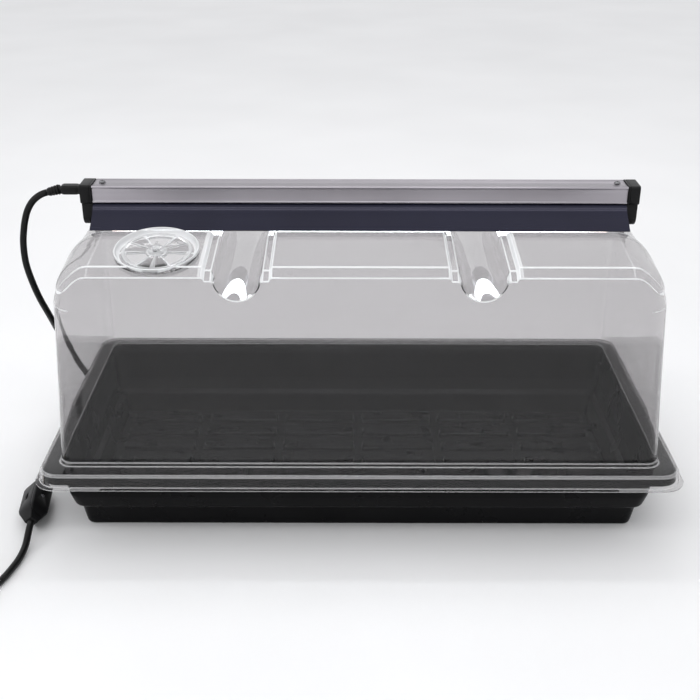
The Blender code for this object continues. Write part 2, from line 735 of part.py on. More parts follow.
def make_rotor(name, side, materials, lamp_pivot):
    """The white rotor that grips the lamp's pins: a disc with a slot across its face."""
    disc = along_x(turned([(ROTOR_RADIUS, ROTOR_NEAR), (ROTOR_RADIUS, ROTOR_FAR)], 16), side)
    mesh = mesh_from(f"rotor_{name}", disc)
    rotor = add_object(f"rotor_{name}", mesh, materials["white_plastic"], lamp_pivot)
    rotor.location.x = side * (HOUSING_HALF + GAP) * MM
    low, high = sorted((-side * 1.0, side * ROTOR_SLOT_DEPTH))
    reach = ROTOR_RADIUS + 2.0
    slot = prism(box_outline(ROTOR_SLOT_HALF, -reach, reach), low, high, "X")
    bmesh.ops.rotate(slot, verts=slot.verts, matrix=Matrix.Rotation(math.pi / 2, 3, "X"))
    groove = cutter(f"rotor_slot_{name}", mesh_from("rotor_slot", slot), lamp_pivot)
    groove.location.x = rotor.location.x
    boolean(rotor, groove, "DIFFERENCE")
    shade_round(mesh)


def make_lamp(materials, lamp_pivot):
    """The tube: open glass, a metal cap at each end and two pins in each cap."""
    bore = LAMP_RADIUS - LAMP_GLASS_WALL
    profile = [(LAMP_RADIUS, -LAMP_GLASS_HALF), (LAMP_RADIUS, LAMP_GLASS_HALF),
               (bore, LAMP_GLASS_HALF), (bore, -LAMP_GLASS_HALF)]
    mesh = mesh_from("lamp_tube", along_x(turned(profile, 20, close=True), 1))
    add_object("lamp_tube", mesh, materials["lamp_glass"], lamp_pivot)
    shade_round(mesh)
    for name, side in (("left", -1), ("right", 1)):
        start = LAMP_GLASS_HALF + GAP
        cap_profile = [(7.0, start - 6.0), (7.0, start), (8.1, start), (8.1, LAMP_END - 1.0),
                       (7.2, LAMP_END)]
        cap_mesh = mesh_from(f"lamp_cap_{name}", along_x(turned(cap_profile, 20), side))
        add_object(f"lamp_cap_{name}", cap_mesh, materials["aluminium"], lamp_pivot)
        shade_round(cap_mesh)
        for index, offset in enumerate((-PIN_SPACING / 2, PIN_SPACING / 2)):
            tip = LAMP_END + PIN_LENGTH
            pin_profile = [(PIN_RADIUS, LAMP_END + GAP), (PIN_RADIUS, tip - 0.8), (0.6, tip)]
            pin_mesh = mesh_from("lamp_pin", along_x(turned(pin_profile, 8), side))
            pin = add_object(f"lamp_pin_{name}_{index + 1}", pin_mesh, materials["brass"],
                             lamp_pivot)
            pin.location.y = offset * MM
            shade_round(pin_mesh)


def make_reflector(materials, parent):
    """A bent sheet over the lamp, open below and at both ends."""
    half = [(y, RIM_Z + z) for y, z in REFLECTOR_PROFILE]
    outer = [(-y, z) for y, z in reversed(half[1:])] + half
    inner = offset_inward(outer, REFLECTOR_SHEET)
    outline = outer + list(reversed(inner))
    bm = prism(outline, -REFLECTOR_HALF, REFLECTOR_HALF, "X")
    mesh = mesh_from("reflector", bm)
    add_object("reflector", mesh, materials["reflector"], parent)
    shade_round(mesh, 50.0)


def offset_inward(points, distance):
    """The same open outline moved toward the lamp by the sheet's thickness."""
    moved = []
    for i, (y, z) in enumerate(points):
        before = points[max(0, i - 1)]
        after = points[min(len(points) - 1, i + 1)]
        along = Vector((after[0] - before[0], after[1] - before[1])).normalized()
        moved.append((y + along.y * distance, z - along.x * distance))
    return moved


def make_ballast(materials, parent):
    """The driver inside the housing: a board, a wound inductor and a capacitor."""
    floor = HOUSING_BOTTOM + HOUSING_SHEET + 1.0
    board = prism(box_outline(BOARD_HALF_WIDTH, floor, floor + BOARD_THICKNESS), *BOARD_SPAN, "X")
    add_object("ballast_board", mesh_from("ballast_board", board), materials["circuit_board"],
               parent)
    core_floor = floor + BOARD_THICKNESS + GAP
    core = prism(box_outline(CORE_HALF_WIDTH, core_floor, core_floor + CORE_HEIGHT, 1.0),
                 *CORE_SPAN, "X")
    add_object("ballast_inductor", mesh_from("ballast_inductor", core), materials["copper"],
               parent)
    can_profile = [(CAN_RADIUS - 0.3, 0.0), (CAN_RADIUS, 0.6), (CAN_RADIUS, CAN_LENGTH - 0.6),
                   (CAN_RADIUS - 0.3, CAN_LENGTH)]
    can = mesh_from("ballast_capacitor", along_x(turned(can_profile, 12), 1))
    capacitor = add_object("ballast_capacitor", can, materials["black_plastic"], parent)
    capacitor.location = Vector((0.0, 0.0, core_floor + CAN_RADIUS + 0.1)) * MM
    shade_round(can)


# ---------------------------------------------------------------- inlet, connector and lead

def make_connector(materials, parent):
    """The moulded connector in the left cap, its contact pins and its ribbed relief."""
    nose_end = CAP_END - INLET_DEPTH + 1.4
    bm = prism(box_outline(INLET_HALF - GAP, INLET_LOW + GAP, INLET_HIGH - GAP, 1.4, 3),
               -CONNECTOR_END, -nose_end, "X")
    mesh = mesh_from("cord_connector", bm)
    connector = add_object("cord_connector", mesh, materials["cord_black"], parent)
    shade_round(mesh)
    for index, offset in enumerate((-CONTACT_OFFSET, CONTACT_OFFSET)):
        radius = CONTACT_RADIUS + 0.35
        well = along_x(turned([(radius, -1.0), (radius, 8.0)], 8), -1)
        hole = cutter(f"contact_hole_{index + 1}", mesh_from("contact_hole", well), parent)
        hole.location = Vector((-nose_end, offset, CORD_EXIT_Z)) * MM
        boolean(connector, hole, "DIFFERENCE")
        contact = turned([(CONTACT_RADIUS, GAP), (CONTACT_RADIUS, 7.4)], 8)
        pin_mesh = mesh_from("inlet_pin", along_x(contact, -1))
        pin = add_object(f"inlet_pin_{index + 1}", pin_mesh, materials["brass"], parent)
        pin.location = Vector((-CAP_END + INLET_DEPTH, offset, CORD_EXIT_Z)) * MM
    profile = [(3.9, 0.0)]
    for rib in range(3):
        start = 1.2 + 3.4 * rib
        thick = 4.5 - 0.3 * rib
        profile += [(3.5, start), (thick, start + 0.5), (thick, start + 2.1), (3.5, start + 2.6)]
    profile.append((3.4, RELIEF_LENGTH))
    relief_mesh = mesh_from("strain_relief", along_x(turned(profile, 12), -1))
    relief = add_object("strain_relief", relief_mesh, materials["cord_black"], parent)
    relief.rotation_euler.y = math.radians(-RELIEF_DROOP)
    relief.location = Vector((-CONNECTOR_END - 1.3, 0.0, CORD_EXIT_Z)) * MM
    shade_round(relief_mesh)


def make_tube(name, route, material):
    """A plain tube on a smooth curve through the route, with filled ends."""
    data = bpy.data.curves.new(name, "CURVE")
    data.dimensions = "3D"
    data.bevel_depth = CORD_RADIUS * MM
    data.bevel_resolution = 2
    data.use_fill_caps = True
    points = smooth_points(route, 4.2 * CORD_RADIUS)
    spline = data.splines.new("POLY")
    spline.points.add(len(points) - 1)
    for target, point in zip(spline.points, points):
        target.co = (*(point * MM), 1.0)
    tube = bpy.data.objects.new(name, data)
    bpy.context.scene.collection.objects.link(tube)
    data.materials.append(material)
    return tube


def make_coil(materials):
    """The outer shape of the coiled length: a turned ring with eased corners."""
    inner, outer, low, high = COIL_TUBE
    corner = COIL_CORNER
    profile = [
        (inner, low + corner), (inner + corner, low), (outer - corner, low), (outer, low + corner),
        (outer, high - corner), (outer - corner, high), (inner + corner, high),
        (inner, high - corner),
    ]
    mesh = mesh_from("cord_coil", turned(profile, 24, close=True))
    coil = add_object("cord_coil", mesh, materials["cord_black"])
    coil.location = Vector((*COIL_CENTRE, 0.0)) * MM
    shade_round(mesh)


def make_switch(materials):
    """The switch on the lead: a deep body, its cover, the cover's screw and the thumb wheel."""
    rear = Vector(SWITCH_REAR)
    front = Vector(SWITCH_FRONT)
    along = front - rear
    half = along.length / 2.0 - GAP
    middle = (rear + front) / 2.0
    turn = math.degrees(math.atan2(along.y, along.x))
    base = empty_at("switch_base", (middle.x, middle.y, SWITCH_Z), (SWITCH_ROLL, 0.0, turn))
    for name, start, operation in (("body", SWITCH_COVER_START - GAP, "DIFFERENCE"),
                                   ("cover", SWITCH_COVER_START, "INTERSECT")):
        mesh = mesh_from(f"switch_{name}", switch_form(half))
        shell = add_object(f"switch_{name}", mesh, materials["black_plastic"], base)
        slab = prism([(-half, start), (half, start), (half, 20.0), (-half, 20.0)], -20.0, 20.0)
        boolean(shell, cutter(f"switch_{name}_slab", mesh_from("switch_slab", slab), base), operation)
        hole = screw_hole(name, base)
        boolean(shell, hole, "DIFFERENCE")
        if name == "body":
            boolean(shell, wheel_pocket(base), "DIFFERENCE")
        shade_round(mesh)
    profile = [(1.0, 3.2), (1.0, 8.5), (2.0, 8.5), (2.0, 9.5), (1.3, 10.0)]
    screw_mesh = mesh_from("switch_screw", along_y(turned(profile, 12)))
    add_object("switch_screw", screw_mesh, materials["steel"], base)
    shade_round(screw_mesh)
    make_wheel(materials, base)


def switch_form(half):
    """The whole switch: square with eased corners, tapered to the lead at both ends."""
    stations = ((-1.0, 0.42), (-0.6, 0.94), (-0.5, 1.0), (0.5, 1.0), (0.6, 0.94), (1.0, 0.42))
    rings = []
    for share, scale in stations:
        width = SWITCH_HALF_WIDTH * scale
        rings.append([(half * share, a, b) for a, b in
                      box_outline(width, -width, width, SWITCH_CORNER * scale)])
    return loft(rings)


def along_y(bm):
    """Turn a shape built along +Z so that it runs along +Y."""
    bmesh.ops.rotate(bm, verts=bm.verts, matrix=Matrix.Rotation(-math.pi / 2, 3, "X"))
    return bm


def screw_hole(name, base):
    """A stepped hole: wide for the head in the cover, narrow for the shank below it."""
    profile = [(1.3, 2.6), (1.3, 8.2), (2.4, 8.2), (2.4, 12.0)]
    return cutter(f"switch_{name}_hole", mesh_from("switch_hole", along_y(turned(profile, 12))), base)


def wheel_pocket(base):
    thick = WHEEL_HALF_THICKNESS + GAP
    pocket = along_y(turned([(WHEEL_RADIUS + 0.6, -thick), (WHEEL_RADIUS + 0.6, thick)], 24))
    hollow = cutter("wheel_pocket", mesh_from("wheel_pocket", pocket), base)
    hollow.location = Vector((0.0, *WHEEL_AT)) * MM
    return hollow


def make_wheel(materials, base):
    """The thumb wheel, whose rim stands out of the slot."""
    thick = WHEEL_HALF_THICKNESS
    profile = [(WHEEL_RADIUS - 0.3, -thick), (WHEEL_RADIUS, -thick + 0.3),
               (WHEEL_RADIUS, thick - 0.3), (WHEEL_RADIUS - 0.3, thick)]
    mesh = mesh_from("switch_wheel", along_y(turned(profile, 24)))
    wheel = add_object("switch_wheel", mesh, materials["black_plastic"], base)
    wheel.location = Vector((0.0, *WHEEL_AT)) * MM
    shade_round(mesh)


def make_plug(materials):
    """A two-blade plug with a ground pin, lying flat beside the coil."""
    base = empty_at("plug_base", (*PLUG_AT, 0.0))
    rings = []
    for y, half_width, height in PLUG_STATIONS:
        middle = PLUG_CORD_Z if y < -20.0 else PLUG_MIDDLE_Z
        low = max(0.3, middle - height / 2.0)
        ring = [(x, y, z) for x, z in box_outline(half_width, low, low + height, 2.4, 3)]
        rings.append(ring)
    mesh = mesh_from("plug_body", loft(rings))
    add_object("plug_body", mesh, materials["cord_black"], base)
    shade_round(mesh)
    face = PLUG_STATIONS[-1][0] + GAP
    for index, x in enumerate((-BLADE_OFFSET, BLADE_OFFSET)):
        bm = prism(box_outline(BLADE_HALF_THICKNESS, *BLADE_HEIGHTS), face, BLADE_TIP, "Y")
        blade = add_object(f"plug_blade_{index + 1}", mesh_from("plug_blade", bm),
                           materials["brass"], base)
        blade.location.x = x * MM
    pin = along_y(turned([(GROUND_PIN_RADIUS, 0.0), (GROUND_PIN_RADIUS, GROUND_PIN_LENGTH - 2.0),
                          (GROUND_PIN_RADIUS - 1.0, GROUND_PIN_LENGTH)], 10))
    pin_mesh = mesh_from("plug_ground_pin", pin)
    ground = add_object("plug_ground_pin", pin_mesh, materials["brass"], base)
    ground.location = Vector((0.0, face, GROUND_PIN_Z)) * MM
    shade_round(pin_mesh)


# ---------------------------------------------------------------- assembly

def main():
    clear_scene()
    materials = make_materials()
    make_tray(materials)
    dome_base = empty_at("dome_base", (0.0, 0.0, 0.0))
    light_base = empty_at("light_base", (0.0, 0.0, 0.0))
    pivots = {}
    for name, side in (("front", -1), ("rear", 1)):
        for key in (name, f"{name}_seat"):
            pivot = empty_at(f"vent_pivot_{key}", (0.0, 0.0, 0.0), parent=dome_base)
            pivot.matrix_world = scaled(vent_frame(side))
            pivots[key] = pivot
    make_dome(materials, dome_base)
    make_vents(materials, pivots)
    make_housing(materials, light_base)
    make_end_caps(materials, light_base)
    lamp_pivot = empty_at("lamp_pivot", (0.0, 0.0, LAMP_Z), parent=light_base)
    make_lampholders(materials, light_base, lamp_pivot)
    make_lamp(materials, lamp_pivot)
    make_reflector(materials, light_base)
    make_ballast(materials, light_base)
    make_connector(materials, light_base)
    make_switch(materials)
    make_plug(materials)
    make_tube("cord_from_light", CORD_LIGHT_ROUTE, materials["cord_black"])
    make_tube("cord_to_coil", CORD_TAIL_ROUTE, materials["cord_black"])
    make_tube("cord_to_plug", CORD_END_ROUTE, materials["cord_black"])
    make_coil(materials)


main()
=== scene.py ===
import json
import math

import bmesh
import bpy
from mathutils import Euler, Matrix, Vector


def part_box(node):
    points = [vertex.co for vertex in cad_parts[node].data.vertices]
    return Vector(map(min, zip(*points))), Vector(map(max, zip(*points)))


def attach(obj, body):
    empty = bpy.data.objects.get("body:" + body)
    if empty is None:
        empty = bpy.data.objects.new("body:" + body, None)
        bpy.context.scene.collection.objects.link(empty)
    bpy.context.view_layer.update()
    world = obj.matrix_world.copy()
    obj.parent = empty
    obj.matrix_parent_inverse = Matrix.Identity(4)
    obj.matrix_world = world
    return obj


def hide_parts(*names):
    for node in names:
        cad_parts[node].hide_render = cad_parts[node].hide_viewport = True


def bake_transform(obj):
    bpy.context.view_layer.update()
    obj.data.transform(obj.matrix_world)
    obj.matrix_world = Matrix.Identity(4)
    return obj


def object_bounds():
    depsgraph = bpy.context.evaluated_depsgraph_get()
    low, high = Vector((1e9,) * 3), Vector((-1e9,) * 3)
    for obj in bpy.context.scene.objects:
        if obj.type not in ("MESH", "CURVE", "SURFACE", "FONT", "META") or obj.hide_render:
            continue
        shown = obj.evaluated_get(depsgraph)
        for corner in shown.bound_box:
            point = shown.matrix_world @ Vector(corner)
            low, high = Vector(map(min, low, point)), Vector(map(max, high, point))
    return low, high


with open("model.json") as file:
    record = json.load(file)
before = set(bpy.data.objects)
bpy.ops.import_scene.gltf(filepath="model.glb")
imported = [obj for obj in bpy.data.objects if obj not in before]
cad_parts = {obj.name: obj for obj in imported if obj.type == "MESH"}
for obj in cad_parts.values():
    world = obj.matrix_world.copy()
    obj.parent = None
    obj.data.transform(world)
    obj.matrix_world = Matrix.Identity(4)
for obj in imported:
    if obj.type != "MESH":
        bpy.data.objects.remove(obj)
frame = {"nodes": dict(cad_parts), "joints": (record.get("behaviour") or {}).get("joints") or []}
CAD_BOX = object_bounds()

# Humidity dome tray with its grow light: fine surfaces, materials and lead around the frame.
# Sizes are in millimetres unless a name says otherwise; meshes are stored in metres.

MM = 0.001
GAP = 0.3                        # air kept between touching pieces


def node_box(node):
    """Lowest and highest corners of a CAD node, in millimetres."""
    low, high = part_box(node)
    return low / MM, high / MM


TRAY_HIGH = node_box("tray_shell")[1]
DOME_HIGH = node_box("dome_shell")[1]
HOUSING_LOW, HOUSING_HIGH = node_box("light_housing")
REFLECTOR_LOW, REFLECTOR_HIGH = node_box("reflector")
LAMP_LOW, LAMP_HIGH = node_box("lamp_tube")
LAMP_Z = (LAMP_LOW.z + LAMP_HIGH.z) / 2.0
CONNECTOR_LOW, CONNECTOR_HIGH = node_box("cord_connector")
DOME_WALL = 1.0
RIM_Z = TRAY_HIGH.z + DOME_WALL + GAP     # top of the dome's ledge


# ---------------------------------------------------------------- camera, light and floor

CAMERA_AT_M = (-0.00827, -0.91683, 0.56171)
CAMERA_DOWN = 25.54              # degrees below level
CAMERA_ROLL = 0.127              # degrees
CAMERA_LENS = 55.68              # millimetres, on a sensor of the width below
CAMERA_SENSOR = 36.0
SKY_COLOUR = (0.98, 0.985, 1.0)
SKY_STRENGTH = 0.85
AREA_LIGHTS = (         # name, place and target in metres, size in metres, watts
    ("strip_front", (0.0, -0.8, 1.5), (0.0, 0.0, 0.2), (1.6, 0.16), 4.0),
    ("strip_back", (0.0, 0.9, 1.5), (0.0, 0.0, 0.2), (1.6, 0.16), 4.0),
    ("soft_box_left", (-1.6, -0.7, 1.1), (0.0, 0.0, 0.15), (0.9, 0.9), 5.0),
)
FLOOR_HALF_M = 14.0
FLOOR_GAP_M = 0.0002             # from the floor up to the lowest CAD point


def link_object(name, data):
    """A new object with this data, in the scene."""
    obj = bpy.data.objects.new(name, data)
    bpy.context.scene.collection.objects.link(obj)
    return obj


def make_camera():
    """The one view that the set is seen from."""
    data = bpy.data.cameras.new("camera")
    data.lens = CAMERA_LENS
    data.sensor_width = CAMERA_SENSOR
    camera = link_object("camera", data)
    camera.location = CAMERA_AT_M
    pitch = Matrix.Rotation(math.radians(90.0 - CAMERA_DOWN), 3, "X")
    roll = Matrix.Rotation(math.radians(CAMERA_ROLL), 3, "Z")
    camera.rotation_euler = (pitch @ roll).to_euler()
    bpy.context.scene.camera = camera


def make_area_light(name, place, target, size, power):
    """A rectangular light at a place, turned toward its target."""
    data = bpy.data.lights.new(name, "AREA")
    data.shape = "RECTANGLE"
    data.size, data.size_y = size
    data.energy = power
    light = link_object(name, data)
    light.location = place
    light.rotation_euler = (Vector(target) - Vector(place)).to_track_quat("-Z", "Y").to_euler()


def make_studio():
    """A pale floor, an even sky, two strip lights over the long sides and a soft box."""
    world = bpy.data.worlds.new("studio")
    bpy.context.scene.world = world
    world.use_nodes = True
    background = world.node_tree.nodes["Background"]
    background.inputs["Color"].default_value = (*SKY_COLOUR, 1.0)
    background.inputs["Strength"].default_value = SKY_STRENGTH
    for light in AREA_LIGHTS:
        make_area_light(*light)
    bm = bmesh.new()
    bmesh.ops.create_grid(bm, x_segments=8, y_segments=8, size=FLOOR_HALF_M)
    mesh = bpy.data.meshes.new("studio_floor")
    bm.to_mesh(mesh)
    bm.free()
    floor = link_object("studio_floor", mesh)
    floor.location.z = CAD_BOX[0][2] - FLOOR_GAP_M
    mesh.materials.append(floor_material())
    scene = bpy.context.scene
    scene.view_settings.view_transform = "Standard"
    scene.view_settings.look = "None"


# ---------------------------------------------------------------- materials

LINES_ALONG_X = (0.02, 1.0, 1.0)


def new_material(name, colour, roughness, metallic=0.0):
    """A material, its node tree and its Principled shader."""
    material = bpy.data.materials.new(name)
    material.use_nodes = True
    tree = material.node_tree
    shader = tree.nodes["Principled BSDF"]
    shader.inputs["Base Color"].default_value = (*colour, 1.0)
    shader.inputs["Roughness"].default_value = roughness
    shader.inputs["Metallic"].default_value = metallic
    return material, tree, shader


def own_coordinates(tree):
    """Places on the piece, in metres."""
    return tree.nodes.new("ShaderNodeTexCoord").outputs["Object"]


def noise(tree, scale, detail=3.0, stretch=(1.0, 1.0, 1.0)):
    """Noise over the piece's own coordinates; stretch squeezes it along an axis."""
    mapping = tree.nodes.new("ShaderNodeMapping")
    mapping.inputs["Scale"].default_value = stretch
    texture = tree.nodes.new("ShaderNodeTexNoise")
    texture.inputs["Scale"].default_value = scale
    texture.inputs["Detail"].default_value = detail
    tree.links.new(own_coordinates(tree), mapping.inputs["Vector"])
    tree.links.new(mapping.outputs["Vector"], texture.inputs["Vector"])
    return texture.outputs["Fac"]


def ramp(tree, factor, stops):
    """A colour ramp through (position, colour or grey) stops."""
    node = tree.nodes.new("ShaderNodeValToRGB")
    elements = node.color_ramp.elements
    for index, (position, value) in enumerate(stops):
        element = elements[index] if index < 2 else elements.new(position)
        element.position = position
        colour = value if isinstance(value, tuple) else (value, value, value)
        element.color = (*colour, 1.0)
    tree.links.new(factor, node.inputs["Fac"])
    return node.outputs["Color"]


def add_bump(tree, shader, height, strength, distance):
    """Tilt the shader's normals by a height between 0 and 1, worth distance in metres."""
    node = tree.nodes.new("ShaderNodeBump")
    node.inputs["Strength"].default_value = strength
    node.inputs["Distance"].default_value = distance
    tree.links.new(height, node.inputs["Height"])
    tree.links.new(node.outputs["Normal"], shader.inputs["Normal"])


def add_shades(tree, shader, factor, colour, dark, light):
    """Let the base colour drift between its dark and its light share."""
    stops = [(place, tuple(min(1.0, channel * share) for channel in colour))
             for place, share in ((0.3, dark), (0.7, light))]
    tree.links.new(ramp(tree, factor, stops), shader.inputs["Base Color"])


def add_gloss(tree, shader, factor, roughness, places=(0.3, 0.7)):
    """Let the roughness drift between two values."""
    gloss = ramp(tree, factor, list(zip(places, roughness)))
    tree.links.new(gloss, shader.inputs["Roughness"])


def plastic(name, colour, roughness, grain=1200.0, grain_height=0.00005, spread=0.25,
            gloss_level=0.2):
    """Moulded plastic: fine grain, slow changes of shade and of gloss."""
    material, tree, shader = new_material(name, colour, roughness[0])
    add_shades(tree, shader, noise(tree, 14.0, 4.0), colour, 1.0 - spread, 1.0 + spread)
    add_gloss(tree, shader, noise(tree, 38.0, 5.0), roughness, (0.35, 0.72))
    add_bump(tree, shader, noise(tree, grain, 2.0), 0.35, grain_height)
    shader.inputs["Specular IOR Level"].default_value = gloss_level
    return material


def metal(name, colour, roughness, stretch=(1.0, 1.0, 1.0), grain=120.0, height=0.00002):
    """Drawn or plated metal: fine lines where stretched, and a slow change of shade."""
    material, tree, shader = new_material(name, colour, roughness[0], 1.0)
    add_shades(tree, shader, noise(tree, 9.0, 3.0), colour, 0.9, 1.06)
    lines = noise(tree, grain, 5.0, stretch)
    add_gloss(tree, shader, lines, roughness)
    add_bump(tree, shader, lines, 0.3, height)
    return material


def clear_material(name, tint, roughness, ior, wave_height, highlight_weight):
    """Clear vacuum-formed plastic: faint waves in the sheet and painted highlights along its
    creases.

    The painted highlights follow a face attribute stored on the mesh's creases. Lamps shine through
    the sheet.
    """
    material, tree, shader = new_material(name, tint, roughness)
    line = tree.nodes.new("ShaderNodeAttribute")
    line.attribute_name = "painted_highlight_line"
    # painted highlight: crease faces blend toward this near-white and lose transmission, standing
    # in for the lamp's glints
    pale = (0.93, 0.94, 0.95)
    shade = ramp(tree, line.outputs["Fac"], [(0.0, tint), (1.0, pale)])
    tree.links.new(shade, shader.inputs["Base Color"])
    clear = ramp(tree, line.outputs["Fac"], [(0.0, 1.0), (1.0, 1.0 - highlight_weight)])
    tree.links.new(clear, shader.inputs["Transmission Weight"])
    shader.inputs["IOR"].default_value = ior
    add_bump(tree, shader, noise(tree, 22.0, 2.0), 0.25, wave_height)
    through = tree.nodes.new("ShaderNodeBsdfTransparent")
    through.inputs["Color"].default_value = (0.93, 0.93, 0.93, 1.0)
    path = tree.nodes.new("ShaderNodeLightPath")
    mix = tree.nodes.new("ShaderNodeMixShader")
    output = tree.nodes["Material Output"]
    tree.links.new(path.outputs["Is Shadow Ray"], mix.inputs["Fac"])
    tree.links.new(shader.outputs["BSDF"], mix.inputs[1])
    tree.links.new(through.outputs["BSDF"], mix.inputs[2])
    tree.links.new(mix.outputs["Shader"], output.inputs["Surface"])
    return material


LAMP_STRENGTH = 11.0
LAMP_DARK_END_M = 0.03


def lamp_material():
    """Lit phosphor: even along the tube, darker and warmer for a short way at each end."""
    material, tree, shader = new_material("lamp_phosphor", (0.95, 0.96, 1.0), 0.3)
    separate = tree.nodes.new("ShaderNodeSeparateXYZ")
    tree.links.new(own_coordinates(tree), separate.inputs["Vector"])
    distance = tree.nodes.new("ShaderNodeMath")
    distance.operation = "ABSOLUTE"
    tree.links.new(separate.outputs["X"], distance.inputs[0])
    span = tree.nodes.new("ShaderNodeMapRange")
    half = LAMP_HIGH.x * MM
    span.inputs["From Min"].default_value = half - LAMP_DARK_END_M
    span.inputs["From Max"].default_value = half
    tree.links.new(distance.outputs["Value"], span.inputs["Value"])
    glow = ramp(tree, span.outputs["Result"], [(0.0, (0.93, 0.97, 1.0)), (1.0, (0.4, 0.33, 0.3))])
    tree.links.new(glow, shader.inputs["Emission Color"])
    tree.links.new(glow, shader.inputs["Base Color"])
    shader.inputs["Emission Strength"].default_value = LAMP_STRENGTH
    return material


def reflector_material():
    """Dark blue-black coated sheet with a violet sheen where the light grazes it."""
    colour = (0.012, 0.0125, 0.024)
    material, tree, shader = new_material("reflector_outside", colour, 0.25)
    add_shades(tree, shader, noise(tree, 10.0, 3.0), colour, 0.8, 1.25)
    lines = noise(tree, 160.0, 4.0, LINES_ALONG_X)
    add_gloss(tree, shader, lines, (0.2, 0.3))
    add_bump(tree, shader, lines, 0.2, 0.00002)
    shader.inputs["Specular IOR Level"].default_value = 0.35
    shader.inputs["Specular Tint"].default_value = (0.8, 0.78, 1.0, 1.0)
    return material


def board_material():
    """Green solder mask with the copper tracks showing faintly through it."""
    material, tree, shader = new_material("solder_mask", (0.03, 0.16, 0.07), 0.35)
    tracks = tree.nodes.new("ShaderNodeTexBrick")
    tree.links.new(own_coordinates(tree), tracks.inputs["Vector"])
    tracks.inputs["Scale"].default_value = 90.0
    tracks.inputs["Mortar Size"].default_value = 0.03
    tracks.inputs["Color1"].default_value = (0.02, 0.14, 0.06, 1.0)
    tracks.inputs["Color2"].default_value = (0.03, 0.17, 0.08, 1.0)
    tracks.inputs["Mortar"].default_value = (0.07, 0.27, 0.12, 1.0)
    tree.links.new(tracks.outputs["Color"], shader.inputs["Base Color"])
    return material


def winding_material():
    """Enamelled copper wire laid side by side."""
    material, tree, shader = new_material("copper_winding", (0.5, 0.2, 0.08), 0.3, 1.0)
    wave = tree.nodes.new("ShaderNodeTexWave")
    tree.links.new(own_coordinates(tree), wave.inputs["Vector"])
    wave.inputs["Scale"].default_value = 500.0
    shade = ramp(tree, wave.outputs["Fac"], [(0.2, (0.25, 0.09, 0.03)), (0.8, (0.62, 0.27, 0.11))])
    tree.links.new(shade, shader.inputs["Base Color"])
    add_bump(tree, shader, wave.outputs["Fac"], 0.5, 0.0002)
    return material


def floor_material():
    """Matt pale paper."""
    material, tree, shader = new_material("studio_floor", (0.9, 0.9, 0.9), 0.7)
    cloud = noise(tree, 3.0, 2.0)
    shade = ramp(tree, cloud, [(0.3, (0.88, 0.88, 0.885)), (0.7, (0.92, 0.92, 0.925))])
    tree.links.new(shade, shader.inputs["Base Color"])
    shader.inputs["Specular IOR Level"].default_value = 0.2
    return material


def make_materials():
    """Every material of the pieces, by a short name."""
    along = LINES_ALONG_X
    return {
        "tray": plastic("tray_plastic", (0.004, 0.004, 0.0045), (0.26, 0.36), 900.0, 0.00001,
                        gloss_level=0.09),
        # the dome and the vents carry painted highlights on their creases, weighted by the last
        # argument
        "clear": clear_material("dome_plastic", (0.745, 0.735, 0.74), 0.02, 1.34, 0.0002, 0.75),
        "vent": clear_material("vent_plastic", (0.8, 0.8, 0.805), 0.04, 1.4, 0.0004, 0.35),
        "housing": metal("brushed_aluminium", (0.4, 0.38, 0.41), (0.3, 0.46), along, 420.0),
        "mirror": metal("mirror_aluminium", (0.93, 0.94, 0.95), (0.04, 0.09), along, 60.0, 0.00001),
        "reflector": reflector_material(),
        "cap": plastic("cap_plastic", (0.005, 0.005, 0.0055), (0.3, 0.45), 1400.0),
        "switch": plastic("switch_plastic", (0.007, 0.007, 0.0075), (0.34, 0.5), 1500.0, 0.00006),
        "cord": plastic("cord_vinyl", (0.006, 0.006, 0.006), (0.34, 0.5)),
        "tie": plastic("tie_plastic", (0.03, 0.03, 0.032), (0.45, 0.6)),
        "lamp": lamp_material(),
        "steel": metal("screw_steel", (0.22, 0.22, 0.23), (0.3, 0.45)),
        "brass": metal("plated_brass", (0.72, 0.58, 0.32), (0.22, 0.38)),
        "white": plastic("white_plastic", (0.75, 0.75, 0.73), (0.35, 0.5), 1200.0, 0.00004, 0.05),
        "board": board_material(),
        "winding": winding_material(),
        "can": plastic("capacitor_sleeve", (0.02, 0.022, 0.05), (0.25, 0.35), 900.0, 0.00003),
    }


# ---------------------------------------------------------------- mesh helpers

def mesh_from(name, bm):
    """Point every face outward, store the mesh in metres and free the bmesh."""
    bmesh.ops.recalc_face_normals(bm, faces=bm.faces)
    if bm.calc_volume(signed=True) < 0.0:
        bmesh.ops.reverse_faces(bm, faces=bm.faces)
    bmesh.ops.scale(bm, vec=(MM, MM, MM), verts=bm.verts)
    mesh = bpy.data.meshes.new(name)
    bm.to_mesh(mesh)
    bm.free()
    return mesh


def add_object(name, bm, materials=(), place=None):
    """An object from a bmesh in millimetres, with its placement applied to the mesh."""
    mesh = mesh_from(name, bm)
    for material in materials:
        mesh.materials.append(material)
    obj = link_object(name, mesh)
    if place is not None:
        move = place.copy()
        move.translation *= MM
        mesh.transform(move)
    return obj


def apply_modifiers(obj):
    """Replace the object's mesh with the one its modifiers give."""
    depsgraph = bpy.context.evaluated_depsgraph_get()
    mesh = bpy.data.meshes.new_from_object(obj.evaluated_get(depsgraph))
    obj.modifiers.clear()
    obj.data = mesh


def combine(obj, other, operation):
    """Cut other out of obj, or join it to obj, and drop other."""
    modifier = obj.modifiers.new("combine", "BOOLEAN")
    modifier.operation = operation
    modifier.solver = "EXACT"
    modifier.object = other
    apply_modifiers(obj)
    bpy.data.objects.remove(other, do_unlink=True)


def cut(obj, bm, place=None):
    """Take a shape out of obj."""
    combine(obj, add_object("cut", bm, [], place), "DIFFERENCE")


def weld(obj, bm, place=None):
    """Join a shape to obj."""
    combine(obj, add_object("weld", bm, [], place), "UNION")


def thicken(obj, thickness):
    """Give a skin its wall, on the inside."""
    modifier = obj.modifiers.new("wall", "SOLIDIFY")
    modifier.thickness = thickness * MM
    modifier.offset = -1.0
    modifier.use_even_offset = True
    apply_modifiers(obj)


